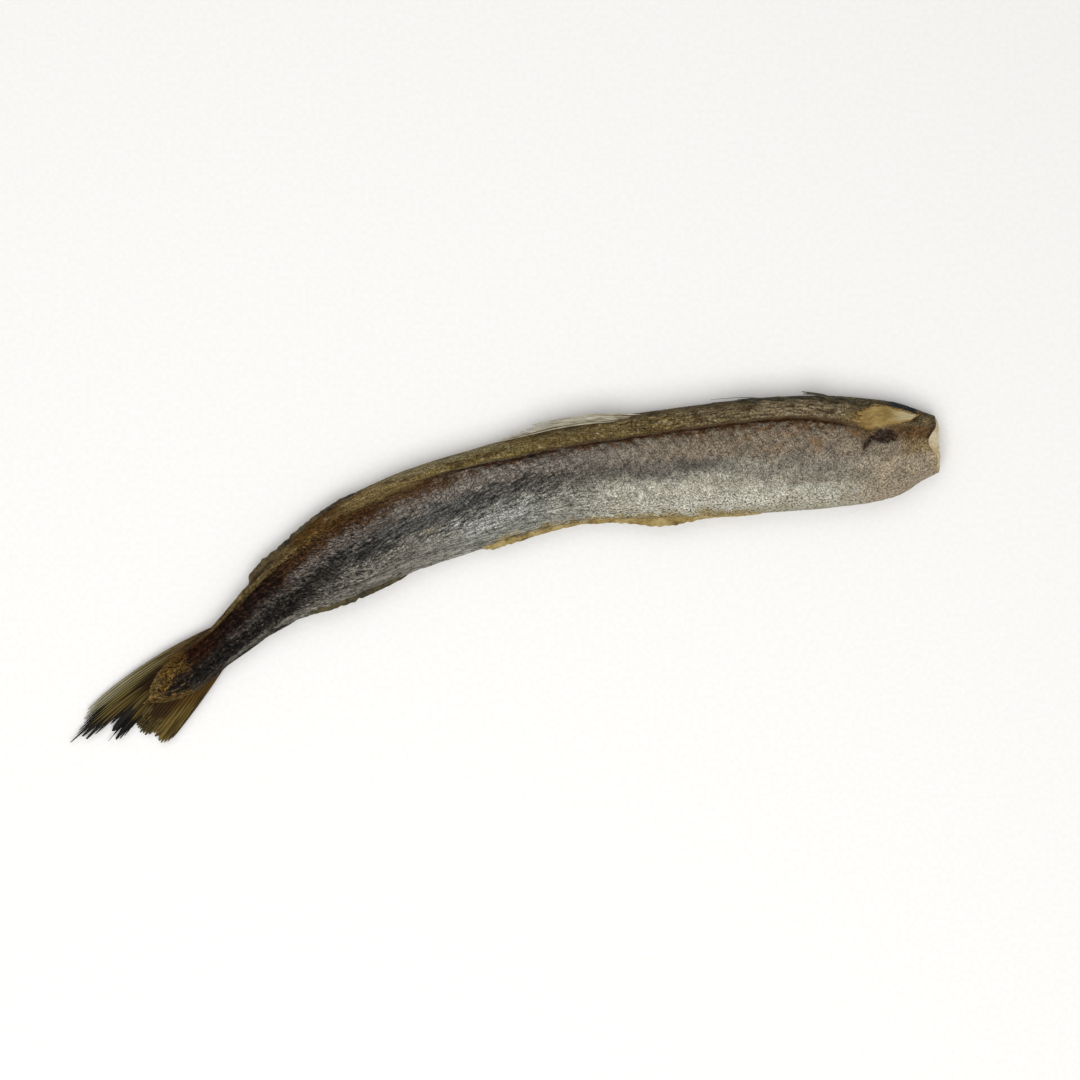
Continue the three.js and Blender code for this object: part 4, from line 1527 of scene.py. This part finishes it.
def flap_mesh(side, width, start, end, seed):
    """A low fin along one edge of the body. The width is a curve in mm along the body."""
    bm = sheet(round((end - start) * FLAP_ROWS_PER_MM), FLAP_COLUMNS)
    for vert in bm.verts:
        s = lerp(start, end, vert.co.x + 0.5)
        out = vert.co.y + 0.5
        place, tailward, back = spine(s)
        grown = rise(s, start, start + FLAP_TAPER) * (1 - rise(s, end - FLAP_TAPER, end))
        root = skin(s, math.acos(-side * FLAP_ROOT), lerp(*FLAP_SINK, grown))[0]
        fray = waves((s, 0, 0), 1.1, 1.0, seed) + waves((s, 0, 0), 3.7, 1.0, seed + 2)
        fray = max(FLAP_LEAST, 1 + FLAP_RAGS * fray)
        reach = half_depth(s, side) * (1 - FLAP_ROOT) + width(s) * fray
        reach *= lerp(FLAP_ENDS, 1, grown)
        tip = root + back * (side * reach) + tailward * (FLAP_SWEEP * reach)
        tip.z = lerp(root.z, place.z, FLAP_DROOP)
        strands = FLAP_STRANDS * noise.noise(Vector((s / 2.2, 3 * out, seed + 5)))
        point = root.lerp(tip, out)
        point.z += strands + FLAP_ARCH * math.sin(math.pi * out)
        vert.co = point
    thicken(bm, FLAP_THICKNESS)
    return bm


print("rows of a low fin for each mm", FLAP_ROWS_PER_MM)

# %% Fin skin
FLAP_GRAIN = 0.7


def dried_fin_skin(name, pale, dark, speck):
    """Low dried fin: granular amber or olive skin with darker specks."""
    material, tree = new_material(name)
    place = add(tree, "TexCoord", output="Object")
    inputs = {"Vector": place, "Scale": 1 / FLAP_GRAIN / MM, "Detail": 4.0, "Roughness": 0.7}
    grains = add(tree, "TexNoise", inputs)
    patches = add(tree, "TexNoise", {"Vector": place, "Scale": PATCHES_PER_MM / MM, "Detail": 2.0})
    mixed = add(tree, "Mix", {0: 0.5, 2: grains, 3: patches})
    stops = [(0.36, speck), (0.45, dark), (0.6, pale)]
    colour = add(tree, "ValToRGB", {"Fac": mixed}, stops=stops)
    finish = {"depth": 0.2, "strength": 0.7, "rough": (0.65, 0.45), "ior": 1.45, "gloss": 0.2}
    surface(tree, colour, grains, NOISE_SPAN, **finish)
    print(name, "nodes", len(tree.nodes))
    return material


amber_fin = dried_fin_skin("amber dried fin skin", "#ad9a68", "#87713f", "#5a4620")
olive_fin = dried_fin_skin("olive dried fin skin", "#5a4d30", "#372b18", "#14110d")
black_fin = dried_fin_skin("black dried fin skin", "#544b2c", "#29251a", "#12100b")

# %% Low fins
# Name, side, start and end along the body in mm, seed, material, and the width in mm at places along.
LOW_FINS = [
    ("first_belly_fin", -1, 36, 106.5, 3.0, amber_fin, [
        (38, 0.1), (44, 0.3), (52, 0.4), (57, 1.2), (62, 1.6), (67, 0.9), (75, 0.6), (85, 0.6),
        (95, 0.9), (101, 0.9), (104, 0.2),
    ]),
    ("third_back_fin", 1, 122, 155.5, 8.0, olive_fin, [
        (122, 0.1), (130, 0.6), (138, 0.7), (145, 1.0), (148, 1.3), (151, 1.3), (154, 0.8),
        (155.5, 0.1),
    ]),
    ("second_belly_fin", -1, 119, 151, 14.0, black_fin, [
        (119, 0.1), (124, 0.6), (130, 0.7), (136, 1.0), (141, 0.8), (146, 0.5), (151, 0.1),
    ]),
]
for name, side, start, end, seed, material, widths in LOW_FINS:
    piece(name, flap_mesh(side, along(widths), start, end, seed), material)
